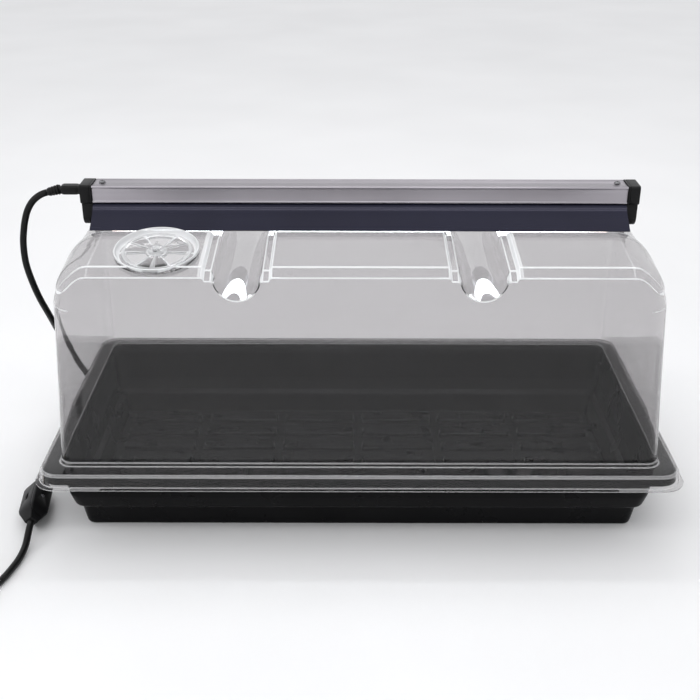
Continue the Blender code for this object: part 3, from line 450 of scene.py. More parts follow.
def set_material(obj, material):
    """Give the whole object this one material."""
    obj.data.materials.clear()
    obj.data.materials.append(material)


def shade_round(obj, angle=38.0):
    """Smooth shading, with the edges sharper than the angle kept sharp."""
    obj.data.shade_smooth()
    obj.data.set_sharp_from_angle(angle=math.radians(angle))


def bevel(obj, width, segments=3, angle=32.0):
    """Ease every edge sharper than the angle."""
    modifier = obj.modifiers.new("eased_edges", "BEVEL")
    modifier.width = width * MM
    modifier.segments = segments
    modifier.limit_method = "ANGLE"
    modifier.angle_limit = math.radians(angle)
    modifier.use_clamp_overlap = True
    apply_modifiers(obj)
    shade_round(obj)


LEAST_BEND = 4.0                 # degrees per millimetre where a painted highlight line starts and where the painted highlight is at its brightest
FULL_BEND = 9.0                  # and where it is at its palest
WIDEST_HIGHLIGHT = 2.6


def mark_painted_highlights(obj, low_z=0.0, low_share=1.0):
    """Store where the surface bends tightly, as the mask for the painted highlights along clear
    plastic's creases.

    A face counts where it bends along an edge and is narrow away from that edge. Upright
    edges get no painted highlight, as they catch no light from above. Below low_z the painted
    highlights are fainter, at low_share.
    """
    bm = bmesh.new()
    bm.from_mesh(obj.data)
    shares = []
    for face in bm.faces:
        area = face.calc_area() / MM
        tight = 0.0
        for edge in face.edges:
            bend = math.degrees(edge.calc_face_angle(0.0))
            length = max(edge.calc_length(), 0.00001)
            width = area / length
            upright = abs(edge.verts[0].co.z - edge.verts[1].co.z) > 0.8 * length
            if bend > LEAST_BEND and width < WIDEST_HIGHLIGHT and not upright:
                tight = max(tight, bend / max(width, 0.5))
        share = min(1.0, max(0.0, (tight - LEAST_BEND) / (FULL_BEND - LEAST_BEND)))
        shares.append(share * (low_share if face.calc_center_median().z < low_z * MM else 1.0))
    bm.free()
    # painted highlight mask: how strongly each crease face is painted near-white
    attribute = obj.data.attributes.new("painted_highlight_line", "FLOAT", "FACE")
    attribute.data.foreach_set("value", shares)


def finish_piece(obj, body, slot, *nodes):
    """Let the piece move with its body and stand for its CAD nodes."""
    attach(obj, body)
    if nodes:
        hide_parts(*nodes)
    return obj


def loft(rings, close_start=True, close_end=True, bm=None):
    """A tube through rings of equal point counts, with flat ends where asked."""
    bm = bmesh.new() if bm is None else bm
    loops = [[bm.verts.new(point) for point in ring] for ring in rings]
    count = len(rings[0])
    for lower, upper in zip(loops, loops[1:]):
        for i in range(count):
            j = (i + 1) % count
            bm.faces.new((lower[i], lower[j], upper[j], upper[i]))
    if close_start:
        bm.faces.new(list(reversed(loops[0])))
    if close_end:
        bm.faces.new(loops[-1])
    return bm


def loft_around(rings):
    """A tube whose last ring joins its first."""
    bm = loft([*rings, rings[0]], False, False)
    bmesh.ops.remove_doubles(bm, verts=bm.verts, dist=1e-4)
    return bm


def turned(profile, segments, close=False):
    """Turn a profile of (radius, height) about Z; close joins its last ring to its first."""
    rings = []
    for radius, height in profile:
        angles = [2.0 * math.pi * i / segments for i in range(segments)]
        rings.append([(radius * math.cos(a), radius * math.sin(a), height) for a in angles])
    return loft_around(rings) if close else loft(rings)


def bore(radius, low, high, segments):
    """The cylinder that a round hole along Z takes away."""
    return turned([(radius, low), (radius, high)], segments)


def eased(points, reach, steps=3, closed=False):
    """The same run of points with each corner rounded, starting reach before it."""
    result = []
    count = len(points)
    for i, point in enumerate(points):
        if not closed and i in (0, count - 1):
            result.append(point)
            continue
        here = Vector(point)
        before = Vector(points[i - 1]) - here
        after = Vector(points[(i + 1) % count]) - here
        start = here + before * min(0.45, reach / before.length)
        end = here + after * min(0.45, reach / after.length)
        for k in range(steps + 1):
            t = k / steps
            result.append(tuple((1 - t) ** 2 * start + 2 * t * (1 - t) * here + t * t * end))
    return result


def prism(outline, stations, axis="X"):
    """Extrude an outline along an axis, through places in order."""
    place = {
        "X": lambda a, b, along: (along, a, b),
        "Y": lambda a, b, along: (a, along, b),
        "Z": lambda a, b, along: (a, b, along),
    }[axis]
    return loft([[place(a, b, along) for a, b in outline] for along in stations])


def box_outline(half_a, low, high, corner=0.0, steps=4):
    """A rectangle from -half_a to half_a and low to high, with rounded corners."""
    if corner <= 0.0:
        return [(-half_a, low), (half_a, low), (half_a, high), (-half_a, high)]
    centres = (
        (half_a - corner, low + corner, -90.0), (half_a - corner, high - corner, 0.0),
        (-half_a + corner, high - corner, 90.0), (-half_a + corner, low + corner, 180.0),
    )
    points = []
    for a, b, first in centres:
        for i in range(steps + 1):
            angle = math.radians(first + 90.0 * i / steps)
            points.append((a + corner * math.cos(angle), b + corner * math.sin(angle)))
    return points


def along_x(bm, side):
    """Turn a shape built along +Z so that it runs along X, outward on its own side."""
    bmesh.ops.rotate(bm, verts=bm.verts, matrix=Matrix.Rotation(side * math.pi / 2, 3, "Y"))
    return bm


def along_y(bm):
    """Turn a shape built along +Z so that it runs along +Y."""
    bmesh.ops.rotate(bm, verts=bm.verts, matrix=Matrix.Rotation(-math.pi / 2, 3, "X"))
    return bm


def smooth_points(route, spacing):
    """Points about evenly spaced on a smooth curve through the route's own points."""
    points = [Vector(point) for point in route]
    padded = [2 * points[0] - points[1], *points, 2 * points[-1] - points[-2]]
    fine = []
    for i in range(1, len(padded) - 2):
        before, here, there, after = padded[i - 1:i + 3]
        for k in range(16):
            t = k / 16
            fine.append(0.5 * (
                2 * here + (there - before) * t
                + (2 * before - 5 * here + 4 * there - after) * t ** 2
                + (3 * here - before - 3 * there + after) * t ** 3))
    fine.append(points[-1])
    lengths = [0.0]
    for first, second in zip(fine, fine[1:]):
        lengths.append(lengths[-1] + (second - first).length)
    count = max(2, round(lengths[-1] / spacing))
    result = []
    index = 0
    for k in range(count + 1):
        target = lengths[-1] * k / count
        while index < len(fine) - 2 and lengths[index + 1] < target:
            index += 1
        span = lengths[index + 1] - lengths[index]
        result.append(fine[index].lerp(fine[index + 1], (target - lengths[index]) / span))
    return result


def tube(points, radius, segments):
    """A round tube along points, carried along without twist."""
    side = Vector((0.0, 1.0, 0.0))
    rings = []
    for i, point in enumerate(points):
        before = points[max(0, i - 1)]
        after = points[min(len(points) - 1, i + 1)]
        along = (after - before).normalized()
        side = (side - along * side.dot(along)).normalized()
        up = along.cross(side)
        ring = []
        for k in range(segments):
            angle = 2.0 * math.pi * k / segments
            ring.append(point + radius * (math.cos(angle) * side + math.sin(angle) * up))
        rings.append(ring)
    return loft(rings)


# ---------------------------------------------------------------- lead

CORD_RADIUS = 3.0
# The lead's route, in metres: from the light down behind the tray's corner to the switch,
# from the switch to the coil, and from the coil to the plug
LIGHT_ROUTE_M = (
    (-0.2746, 0.0, 0.2763), (-0.2791, 0.0, 0.2748), (-0.2847, -0.0002, 0.2714),
    (-0.2894, -0.0005, 0.2667), (-0.293, -0.0009, 0.2609), (-0.2956, -0.0014, 0.2544),
    (-0.298, -0.0024, 0.245), (-0.2996, -0.0054, 0.231), (-0.2989, -0.008, 0.214),
    (-0.2964, -0.0066, 0.197), (-0.2934, 0.0004, 0.176), (-0.2914, 0.014, 0.155),
    (-0.2908, 0.032, 0.132), (-0.2906, 0.055, 0.105), (-0.2904, 0.078, 0.0795),
    (-0.29, 0.095, 0.0606), (-0.2892, 0.1071, 0.0472), (-0.2878, 0.1126, 0.0377),
    (-0.2862, 0.1138, 0.0267), (-0.2846, 0.1103, 0.0163), (-0.2832, 0.103, 0.0081),
    (-0.2824, 0.0929, 0.0036), (-0.2826, 0.082, 0.003), (-0.2865, 0.066, 0.003),
    (-0.2925, 0.049, 0.003), (-0.2988, 0.031, 0.003), (-0.3037, 0.01, 0.003),
    (-0.3047, -0.012, 0.0034), (-0.3019, -0.03, 0.007), (-0.2991, -0.045, 0.0116),
    (-0.2973, -0.0562, 0.0129),
)
TAIL_ROUTE_M = (
    (-0.2891, -0.1226, 0.0129), (-0.2886, -0.132, 0.0106), (-0.2885, -0.146, 0.005),
    (-0.2897, -0.161, 0.003), (-0.2923, -0.176, 0.003), (-0.2967, -0.192, 0.003),
    (-0.3033, -0.206, 0.003),
)
END_ROUTE_M = (
    (-0.3948, -0.1916, 0.0055), (-0.396, -0.1874, 0.0052), (-0.3973, -0.1826, 0.0057),
    (-0.3985, -0.1774, 0.0067), (-0.3993, -0.1727, 0.0072),
)
# Radius and height of the coil's middle line in each turn
COIL_LAYERS = ((43.0, 3.0), (37.0, 3.0), (31.0, 3.0), (34.0, 8.8), (40.0, 8.8))
COIL_STEPS = 36                  # points in each turn
STEP_IN = 0.6                    # share of a turn in which the lead moves in to its next row
CLIMB = 0.3                      # share of a turn in which it climbs to the upper layer


def soft_step(share):
    """From 0 to 1 with a soft start and a soft end."""
    share = min(1.0, max(0.0, share))
    return share * share * (3.0 - 2.0 * share)


def coil_points(centre, start, end):
    """The points of a wound coil: three turns below, then more than one above them."""
    first = math.atan2(start.y - centre.y, start.x - centre.x)
    last = math.atan2(end.y - centre.y, end.x - centre.x)
    part = ((first - last) / (2.0 * math.pi)) % 1.0
    turns = len(COIL_LAYERS) - 1 + part
    entry = math.hypot(start.x - centre.x, start.y - centre.y)
    leave = math.hypot(end.x - centre.x, end.y - centre.y)
    rungs = [(entry, start.z), *COIL_LAYERS]
    steps = round(turns * COIL_STEPS)
    points = []
    for k in range(1, steps):
        turn = turns * k / steps
        index = int(turn)
        share = turn - index
        (old_radius, old_height), (radius, height) = rungs[index], rungs[index + 1]
        delay = CLIMB if height > old_height else 0.0
        radius = old_radius + (radius - old_radius) * soft_step((share - delay) / STEP_IN)
        height = old_height + (height - old_height) * soft_step(share / CLIMB)
        if turn > turns - CLIMB:
            radius += (leave - radius) * soft_step((turn - turns + CLIMB) / CLIMB)
            outer = entry + (COIL_LAYERS[0][0] - entry) * soft_step(share / STEP_IN)
            beside = min(2.0 * CORD_RADIUS, max(0.0, radius - outer))
            height = max(end.z, CORD_RADIUS + math.sqrt(4.0 * CORD_RADIUS ** 2 - beside ** 2))
            height = min(height, COIL_LAYERS[-1][1])
        angle = first - 2.0 * math.pi * turn
        points.append(Vector((centre.x + radius * math.cos(angle),
                              centre.y + radius * math.sin(angle), height)))
    return points


def make_cord(materials):
    """The whole lead as one tube, its coil's tie, and the points of its path."""
    coil_low, coil_high = node_box("cord_coil")
    centre = (coil_low + coil_high) / 2.0
    light_route, tail_route, end_route = (
        [Vector(point) / MM for point in route]
        for route in (LIGHT_ROUTE_M, TAIL_ROUTE_M, END_ROUTE_M))
    coil = coil_points(centre, tail_route[-1], end_route[0])
    points = smooth_points(light_route + tail_route + coil + end_route, 2.6)
    cord = add_object("lead", tube(points, CORD_RADIUS, 16), [materials["cord"]])
    cord.data.shade_smooth()
    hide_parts("cord_from_light", "cord_to_coil", "cord_to_plug", "cord_coil")
    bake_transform(cord)
    tie = make_tie(materials, centre)
    return cord, tie, [tuple(point * MM) for point in points]


TIE_ANGLE = 250.0                # degrees around the coil
TIE_RADII = (26.6, 47.4)         # from inside the coil's turns to outside them
TIE_HEIGHTS = (0.25, 13.2)
TIE_HALF_WIDTH = 2.4
TIE_THICK = 0.7


def make_tie(materials, centre):
    """A flat tie around all the coil's turns."""
    (inner, outer), (low, high) = TIE_RADII, TIE_HEIGHTS
    half = (outer - inner) / 2.0
    outside = box_outline(half, low, high, 4.6, 5)
    inside = box_outline(half - TIE_THICK, low + TIE_THICK, high - TIE_THICK, 4.0, 5)
    rings = [[(a, along, b) for a, b in outline] for outline, along in (
        (outside, -TIE_HALF_WIDTH), (outside, TIE_HALF_WIDTH),
        (inside, TIE_HALF_WIDTH), (inside, -TIE_HALF_WIDTH))]
    place = (Matrix.Translation((centre.x, centre.y, 0.0))
             @ Matrix.Rotation(math.radians(TIE_ANGLE), 4, "Z")
             @ Matrix.Translation((inner + half, 0.0, 0.0)))
    tie = add_object("coil_tie", loft_around(rings), [materials["tie"]], place)
    bevel(tie, 0.2, 2)
    return finish_piece(tie, "tray", "cord_black")


# ---------------------------------------------------------------- switch and plug

SWITCH_ROLL = 40.0               # degrees about the lead
SWITCH_HALF_WIDTH = 9.5
SWITCH_COVER_START = 6.6         # from the middle across to where the cover meets the body
SWITCH_Z = 12.95                 # height of its middle above the floor
WHEEL_RADIUS = 7.0
WHEEL_HALF_THICKNESS = 0.9
WHEEL_AT = (-1.5, 3.5)
WHEEL_TEETH = 36
WHEEL_TOOTH_DEPTH = 0.32
# Share of the half length, and share of the full width
SWITCH_STATIONS = ((-1.0, 0.42), (-0.62, 0.93), (-0.5, 1.0), (0.5, 1.0), (0.62, 0.93),
                   (1.0, 0.42))
SWITCH_END_GAP = 1.1             # between the lead's routes and the switch's ends


def switch_place():
    """Where the switch lies: between the two lead ends that enter it, rolled on its edge."""
    rear = Vector(LIGHT_ROUTE_M[-1]) / MM
    front = Vector(TAIL_ROUTE_M[0]) / MM
    along = front - rear
    middle = (rear + front) / 2.0
    turn = Euler((math.radians(SWITCH_ROLL), 0.0, math.atan2(along.y, along.x)))
    place = Matrix.Translation((middle.x, middle.y, SWITCH_Z)) @ turn.to_matrix().to_4x4()
    return place, along.length / 2.0 - SWITCH_END_GAP


def switch_form(half):
    """The whole switch as one block, tapered toward the lead at both ends."""
    rings = []
    for share, scale in SWITCH_STATIONS:
        width = SWITCH_HALF_WIDTH * scale
        outline = box_outline(width, -width, width, 1.8 * scale)
        rings.append([(half * share, a, b) for a, b in outline])
    return loft(rings)


def make_switch(materials):
    """The switch's body and cover, parted along a plane, with its screw and its wheel."""
    place, half = switch_place()
    wheel_place = place @ Matrix.Translation((0.0, *WHEEL_AT))
    screw_hole = [(1.3, 2.6), (1.3, 8.2), (2.5, 8.2), (2.5, 12.0)]
    pieces = []
    for name, start, operation in (("body", SWITCH_COVER_START - GAP, "DIFFERENCE"),
                                   ("cover", SWITCH_COVER_START, "INTERSECT")):
        shell = add_object(f"switch_{name}_fine", switch_form(half), [materials["switch"]], place)
        outline = [(-half, start), (half, start), (half, 20.0), (-half, 20.0)]
        slab = add_object("slab", prism(outline, (-20.0, 20.0), "Z"), [], place)
        combine(shell, slab, operation)
        cut(shell, along_y(turned(screw_hole, 20)), place)
        if name == "body":
            thick = WHEEL_HALF_THICKNESS + GAP
            cut(shell, along_y(bore(WHEEL_RADIUS + 2 * GAP, -thick, thick, 40)), wheel_place)
        bevel(shell, 0.35, 2, 40.0)
        pieces.append(finish_piece(shell, "tray", "black_plastic", f"switch_{name}"))
    screw_place = place @ Matrix.Rotation(-math.pi / 2, 4, "X")
    screw = make_screw("switch_screw_fine", materials, screw_place, 2.0, 1.3, 3.2, 8.5, 9.8)
    pieces.append(finish_piece(screw, "tray", "steel", "switch_screw"))
    pieces.append(make_wheel(materials, wheel_place))
    return pieces


def make_wheel(materials, place):
    """The thumb wheel: a disc with small teeth around its rim."""
    points = 4 * WHEEL_TEETH
    thick = WHEEL_HALF_THICKNESS
    rings = []
    for offset, inset in ((-thick, 0.35), (-thick + 0.25, 0.0), (thick - 0.25, 0.0),
                          (thick, 0.35)):
        ring = []
        for k in range(points):
            angle = 2.0 * math.pi * k / points
            tooth = 0.0 if k % 4 in (0, 1) else WHEEL_TOOTH_DEPTH
            radius = WHEEL_RADIUS - inset - tooth
            ring.append((radius * math.cos(angle), radius * math.sin(angle), offset))
        rings.append(ring)
    wheel = add_object("switch_wheel_fine", along_y(loft(rings)), [materials["switch"]], place)
    shade_round(wheel, 30.0)
    return finish_piece(wheel, "switch_wheel", "black_plastic", "switch_wheel")


def make_screw(name, materials, place, head, shank, low, seat, top):
    """A screw along +Z with a cross recess in its domed head."""
    profile = [(shank, low), (shank, seat), (head, seat), (head, seat + 0.4),
               (head * 0.8, top - 0.15), (head * 0.4, top), (0.05, top)]
    screw = add_object(name, turned(profile, 28), [materials["steel"]])
    for a, b in ((head * 0.6, 0.28), (0.28, head * 0.6)):
        cut(screw, prism(box_outline(a, -b, b), (top - 0.8, top + 0.5), "Z"))
    move = place.copy()
    move.translation *= MM
    screw.data.transform(move)
    shade_round(screw)
    return screw


# Place along the plug, half width, underside and top
PLUG_STATIONS = (
    (0.0, 4.2, 2.7, 11.7), (1.0, 4.4, 2.5, 11.9), (4.4, 5.2, 1.7, 12.7), (17.4, 8.0, 3.5, 18.5),
    (20.0, 8.9, 3.0, 19.4), (23.4, 11.5, 1.5, 20.5), (26.0, 12.3, 0.8, 21.1),
    (33.4, 13.0, 0.5, 21.5), (38.6, 12.7, 0.6, 21.4), (39.4, 12.0, 1.3, 20.7),
)
GROOVES = 4
GROOVE_PITCH = 3.4


def make_plug(materials):
    """The moulded plug, with grip grooves on its sides; its blades stay as the CAD has them."""
    low, high = node_box("plug_body")
    middle_x = (low.x + high.x) / 2.0
    rings = []
    for along, half, bottom, top in PLUG_STATIONS:
        outline = box_outline(half, bottom, top, min(3.4, half * 0.6), 5)
        rings.append([(middle_x + a, low.y + along, b) for a, b in outline])
    plug = add_object("plug_body_fine", loft(rings), [materials["cord"]])
    for index in range(GROOVES):
        y = low.y + 8.0 + GROOVE_PITCH * index
        outline = box_outline(1.1, y, y + 1.5, 0.4, 2)
        for side in (-1, 1):
            x = side * (7.4 + index * 0.75)
            cut(plug, prism([(x + a, b) for a, b in outline], (5.6, 16.4), "Z"),
                Matrix.Translation((middle_x, 0.0, 0.0)))
    bevel(plug, 0.25, 2, 40.0)
    return finish_piece(plug, "tray", "cord_black", "plug_body")


# ---------------------------------------------------------------- tray

# The tray's skin: inset from the rim's edge along X and Y, height above the floor or, for the
# rim, above the flange's top, and corner radius
TRAY_FOOT = ((28.1, 34.0, 0.0, 6.0), (26.6, 32.5, 1.2, 7.0), (25.6, 31.5, 5.0, 8.0),
             (23.1, 29.0, 20.5, 9.0), (18.1, 24.5, 23.5, 11.0), (14.6, 20.5, 36.0, 13.0))
TRAY_RIM = ((13.0, 17.7, -7.2, 14.0), (12.0, 16.0, -3.2, 14.0), (10.6, 13.0, -1.5, 14.0),
            (2.4, 2.5, -1.5, 15.0), (0.6, 0.6, -3.1, 16.0), (0.0, 0.0, -8.7, 16.0))
TRAY_WALL = 1.5
RIB_SIZE = (72.0, 14.0, 3.6)     # length, width and height
RIB_PITCH = (80.0, 28.5)
RIB_GRID = (6, 7)                # columns and rows


def make_tray(materials):
    """The tray's stepped shell with its rolled rim, and the ribs on its floor."""
    half_x, half_y = TRAY_HIGH.x, TRAY_HIGH.y
    path = [(half_x - x, half_y - y, z, corner) for x, y, z, corner in TRAY_FOOT]
    path += [(half_x - x, half_y - y, TRAY_HIGH.z + z, corner) for x, y, z, corner in TRAY_RIM]
    rings = []
    for ring_x, ring_y, z, corner in eased(path, 1.6, 3):
        rings.append([(x, y, z) for x, y in box_outline(ring_x, -ring_y, ring_y, corner, 10)])
    tray = add_object("tray_fine", loft(rings, True, False), [materials["tray"]])
    thicken(tray, TRAY_WALL)
    ribs = bmesh.new()
    columns, rows = RIB_GRID
    for column in range(columns):
        for row in range(rows):
            add_rib(ribs, (column - (columns - 1) / 2) * RIB_PITCH[0],
                    (row - (rows - 1) / 2) * RIB_PITCH[1])
    weld(tray, ribs)
    shade_round(tray, 30.0)
    return finish_piece(tray, "tray", "tray_black", "tray_shell")


def add_rib(bm, x, y):
    """One rib with sloping sides and a narrower top."""
    length, width, height = RIB_SIZE
    rings = []
    for level, inset in ((-0.4, 0.0), (height - 0.8, 0.7), (height, 1.6)):
        outline = box_outline(length / 2 - inset, -width / 2 + inset, width / 2 - inset, 2.2, 2)
        rings.append([(x + a, y + b, TRAY_WALL + level) for a, b in outline])
    loft(rings, bm=bm)


# ---------------------------------------------------------------- dome

DOME_INSETS = {         # inset from the lip along X and Y, height above the rim, corner radius
    "lip": (0.0, 0.0, -12.0, 21.0), "lip_inner": (3.4, 3.1, -11.6, 19.0),
    "skirt_top": (4.6, 4.1, -1.8, 18.0), "ledge": (6.2, 5.5, 0.0, 17.0),
    "foot": (19.6, 18.7, 0.0, 13.0), "wall_foot": (21.4, 20.5, 2.6, 12.0),
    "wall_low": (23.8, 22.5, 54.0, 15.0), "wall_high": (26.0, 26.2, 140.0, 25.0),
    "top": (27.1, 27.5, 170.8, 32.0),
}
END_DROP = 28.4                  # how far the shoulders fall at the short ends
SHOULDER_POWER = 1.7             # roundness of their fall
CORNER_POWER = 5                 # how late a corner turns from its end to its side
# The roof across its width: distance from the middle, and height above the rim
ROOF_PROFILE = (
    (0.0, 179.2), (22.0, 179.2), (34.5, 179.8), (39.5, 182.4), (52.0, 182.4), (67.0, 180.4),
    (107.0, 176.4), (116.0, 170.8),
)
TROUGH_X = 99.0
TROUGH_RADIUS = 18.75
TROUGH_CENTRE = 169.6            # height of its axis above the rim
TROUGH_STEPS = 20                # around a half circle
BAND_HALF = 27.0                 # half width of the flat sunk band that a trough lies in
BAND_DEPTH = 3.0
TOP_EDGE = 1.3                   # width of the turned edge just below the top
LOW_HIGHLIGHTS = 20.0                 # up to this height above the rim the painted highlights are fainter
LOW_HIGHLIGHT_SHARE = 0.35


def dome_ring(name):
    """Half length, half width, height and corner radius of one of the dome's rings."""
    inset_x, inset_y, above, corner = DOME_INSETS[name]
    return DOME_HIGH.x - inset_x, DOME_HIGH.y - inset_y, RIM_Z + above, corner


def profile_height(profile, distance):
    """The height of a profile of (distance, height) at a distance."""
    for (d0, z0), (d1, z1) in zip(profile, profile[1:]):
        if distance <= d1:
            return z0 + (z1 - z0) * (distance - d0) / (d1 - d0)
    return profile[-1][1]


class Dome:
    """The pressed top of the dome as a height over its plan."""

    def __init__(self):
        self.roof = eased(ROOF_PROFILE, 1.0, 3)
        self.half_x, self.half_y, _, self.corner = dome_ring("top")

    def roof_height(self, y):
        """Height of the roof's middle part at a distance from the middle line."""
        return RIM_Z + profile_height(self.roof, abs(y))

    def shoulder_drop(self, inset):
        """How far a short end has fallen at a distance in from its edge."""
        t = min(1.0, max(0.0, 1.0 - inset / self.corner))
        return END_DROP * (1.0 - (1.0 - t ** SHOULDER_POWER) ** (1.0 / SHOULDER_POWER))

    def height(self, x, y):
        """Height of the top without its troughs."""
        over_x = abs(x) - (self.half_x - self.corner)
        over_y = abs(y) - (self.half_y - self.corner)
        if over_x <= 0.0:
            return self.roof_height(y)
        if over_y <= 0.0:
            return self.roof_height(y) - self.shoulder_drop(self.corner - over_x)
        inset = self.corner - math.hypot(over_x, over_y)
        share = math.sin(math.atan2(over_y, over_x)) ** CORNER_POWER
        start = self.roof_height(self.half_y - self.corner)
        side = self.roof_height(self.half_y - max(0.0, inset))
        return start + share * (side - start) - (1.0 - share) * self.shoulder_drop(inset)

    def columns(self):
        """Grid lines along X: (place or share of the corner, side, trough depth rule)."""
        half = [(step * 12.0, None) for step in range(6)]
        shape = self.trough_shape()
        half += [(TROUGH_X - offset, rule) for offset, rule in shape]
        half += [(TROUGH_X + offset, rule) for offset, rule in reversed(shape[:-1])]
        half += [(130.0 + 11.0 * step, None) for step in range(9)]
        half.append((self.half_x - self.corner, None))
        half += [(("corner", math.sin(math.pi / 2 * k / 12)), None) for k in range(1, 13)]
        lines = [(place, -1, rule) for place, rule in reversed(half[1:])]
        return lines + [(place, 1, rule) for place, rule in half]

    def trough_shape(self):
        """Lines across one trough: distance from its middle, and a height over the rim.

        A rule of ("band", share) sinks from the roof toward the band by that share.
        """
        lines = [(BAND_HALF + 1.6, None), (BAND_HALF + 0.9, ("band", 0.08)),
                 (BAND_HALF + 0.2, ("band", 0.35)), (BAND_HALF - 0.5, ("band", 0.8)),
                 (BAND_HALF - 1.3, ("band", 1.0)), (TROUGH_RADIUS + 2.6, ("band", 1.0)),
                 (TROUGH_RADIUS + 1.5, ("band", 1.12))]
        for k in range(TROUGH_STEPS // 2 + 1):
            angle = 0.1 + (math.pi / 2 - 0.1) * k / (TROUGH_STEPS // 2)
            lines.append((TROUGH_RADIUS * math.cos(angle),
                          TROUGH_CENTRE - TROUGH_RADIUS * math.sin(angle)))
        return lines

    def rows(self):
        """Grid lines along Y: (place or share of the corner, side)."""
        straight = self.half_y - self.corner
        places = [distance for distance, _ in self.roof]
        half = sorted({60.0, 72.0, 78.0, *(place for place in places if place < straight)})
        half.append(straight)
        shares = [0.3, 0.5]
        shares += [(place - straight) / self.corner for place in places if place > straight]
        half += [("corner", min(1.0, share)) for share in sorted(shares)]
        return [(place, -1) for place in reversed(half[1:])] + [(place, 1) for place in half]

    def plan_point(self, column, row, ring):
        """Where two grid lines cross in plan, on the top or on a ring of the wall."""
        half_x, half_y, _, corner = ring
        (x_place, x_side), (y_place, y_side) = column[:2], row
        u = x_place[1] if isinstance(x_place, tuple) else 0.0
        v = y_place[1] if isinstance(y_place, tuple) else 0.0
        x = half_x - corner + corner * u * math.sqrt(1.0 - v * v / 2.0) if u else x_place
        y = half_y - corner + corner * v * math.sqrt(1.0 - u * u / 2.0) if v else y_place
        return x_side * x, y_side * y

    def top_point(self, column, row):
        """Where two grid lines cross on the top, sunk into the troughs."""
        top = dome_ring("top")
        x, y = self.plan_point(column, row, top)
        rule = column[2]
        z = self.height(x, y)
        if isinstance(rule, tuple):
            z -= BAND_DEPTH * rule[1]
        elif rule is not None:
            z = RIM_Z + rule
        if row[0] == ("corner", 1.0):
            wall = dome_ring("wall_high")
            fall = max(0.0, (top[2] - z) / (top[2] - wall[2]))
            y += math.copysign((wall[1] - top[1]) * fall, y)
        return x, y, z


def perimeter(columns, rows):
    """Grid crossings around the edge of the top, in order."""
    edge = [(i, 0) for i in range(columns - 1)]
    edge += [(columns - 1, j) for j in range(rows - 1)]
    edge += [(i, rows - 1) for i in range(columns - 1, 0, -1)]
    edge += [(0, j) for j in range(rows - 1, 0, -1)]
    return edge


def wall_rings():
    """Rings from just under the top's edge down to the lip, with eased corners."""
    names = ("top", "wall_high", "wall_low", "wall_foot", "foot", "ledge", "skirt_top",
             "lip_inner", "lip")
    return eased([dome_ring(name) for name in names], 0.8, 3)[1:]


def make_dome(materials):
    """The clear dome: the pressed top, the wall below it, and a seat for each vent."""
    shape = Dome()
    columns = shape.columns()
    rows = shape.rows()
    bm = bmesh.new()
    grid = [[bm.verts.new(shape.top_point(column, row)) for row in rows] for column in columns]
    for i in range(len(columns) - 1):
        for j in range(len(rows) - 1):
            bm.faces.new((grid[i][j], grid[i + 1][j], grid[i + 1][j + 1], grid[i][j + 1]))
    edge = perimeter(len(columns), len(rows))
    loop = [grid[i][j] for i, j in edge]
    rings = []
    for ring in wall_rings():
        plan = [shape.plan_point(columns[i], rows[j], ring) for i, j in edge]
        rings.append([Vector((x, y, ring[2])) for x, y in plan])
    rings.insert(0, [vert.co.lerp(below, TOP_EDGE / (below - vert.co).length)
                     for vert, below in zip(loop, rings[0])])
    for ring in rings:
        lower = [bm.verts.new(point) for point in ring]
        for k in range(len(edge)):
            n = (k + 1) % len(edge)
            bm.faces.new((loop[k], loop[n], lower[n], lower[k]))
        loop = lower
    dome = add_object("dome_fine", bm, [materials["clear"]])
    thicken(dome, DOME_WALL)
    for side in (-1, 1):
        cut(dome, bore(SEAT_RADIUS, -14.0, 14.0, 72), vent_place(side))
        combine(dome, make_vent_seat(side), "UNION")
    set_material(dome, materials["clear"])
    shade_round(dome, 42.0)
    # paint highlights along the dome's creases, fainter near the rim
    mark_painted_highlights(dome, RIM_Z + LOW_HIGHLIGHTS, LOW_HIGHLIGHT_SHARE)
    return finish_piece(dome, "dome", "clear_plastic", "dome_shell")


# ---------------------------------------------------------------- vents

VENT_TILT = 10.0                 # degrees
SEAT_RADIUS = 33.8
DISC_RADIUS = 28.4
VENT_OPENINGS = 3
OPENING_SPAN = 52.0              # degrees
OPENING_STEPS = 12
OPENING_INNER = 9.0
OPENING_OUTER = 24.8


def vent_place(side):
    """A vent's middle on the roof, tipped toward the nearer long side."""
    name = "vent_turn_front" if side < 0 else "vent_turn_rear"
    joint = next(joint for joint in frame["joints"] if joint["name"] == name)
    tilt = Matrix.Rotation(math.radians(-side * VENT_TILT), 4, "X")
    return Matrix.Translation(Vector(joint["pos_m"]) / MM) @ tilt


def opening_prisms(low, high):
    """The ring sectors that are cut through a vent."""
    bm = bmesh.new()
    for k in range(VENT_OPENINGS):
        first = 90.0 + 360.0 * k / VENT_OPENINGS - OPENING_SPAN / 2
        outline = []
        for radius, order in ((OPENING_OUTER, range(OPENING_STEPS + 1)),
                              (OPENING_INNER, range(OPENING_STEPS, -1, -1))):
            for i in order:
                angle = math.radians(first + OPENING_SPAN * i / OPENING_STEPS)
                outline.append((radius * math.cos(angle), radius * math.sin(angle)))
        loft([[(x, y, z) for x, y in outline] for z in (low, high)], bm=bm)
    return bm


def make_vent_seat(side):
    """A seat in the roof: a rolled rim and a floor with openings."""
    place = vent_place(side)
    outer = SEAT_RADIUS + 1.2
    profile = [
        (2.6, 0.0), (SEAT_RADIUS - 3.2, 0.0), (SEAT_RADIUS - 1.6, 0.4), (SEAT_RADIUS - 0.6, 1.6),
        (SEAT_RADIUS - 0.2, 3.4), (SEAT_RADIUS, 4.4), (SEAT_RADIUS + 0.6, 4.8), (outer, 4.3),
        (outer, -3.4), (SEAT_RADIUS, -3.4), (SEAT_RADIUS - 0.6, -DOME_WALL), (2.6, -DOME_WALL),
    ]
    seat = add_object("vent_seat", turned(profile, 72, close=True), [], place)
    cut(seat, opening_prisms(-6.0, 6.0), place)
    return seat


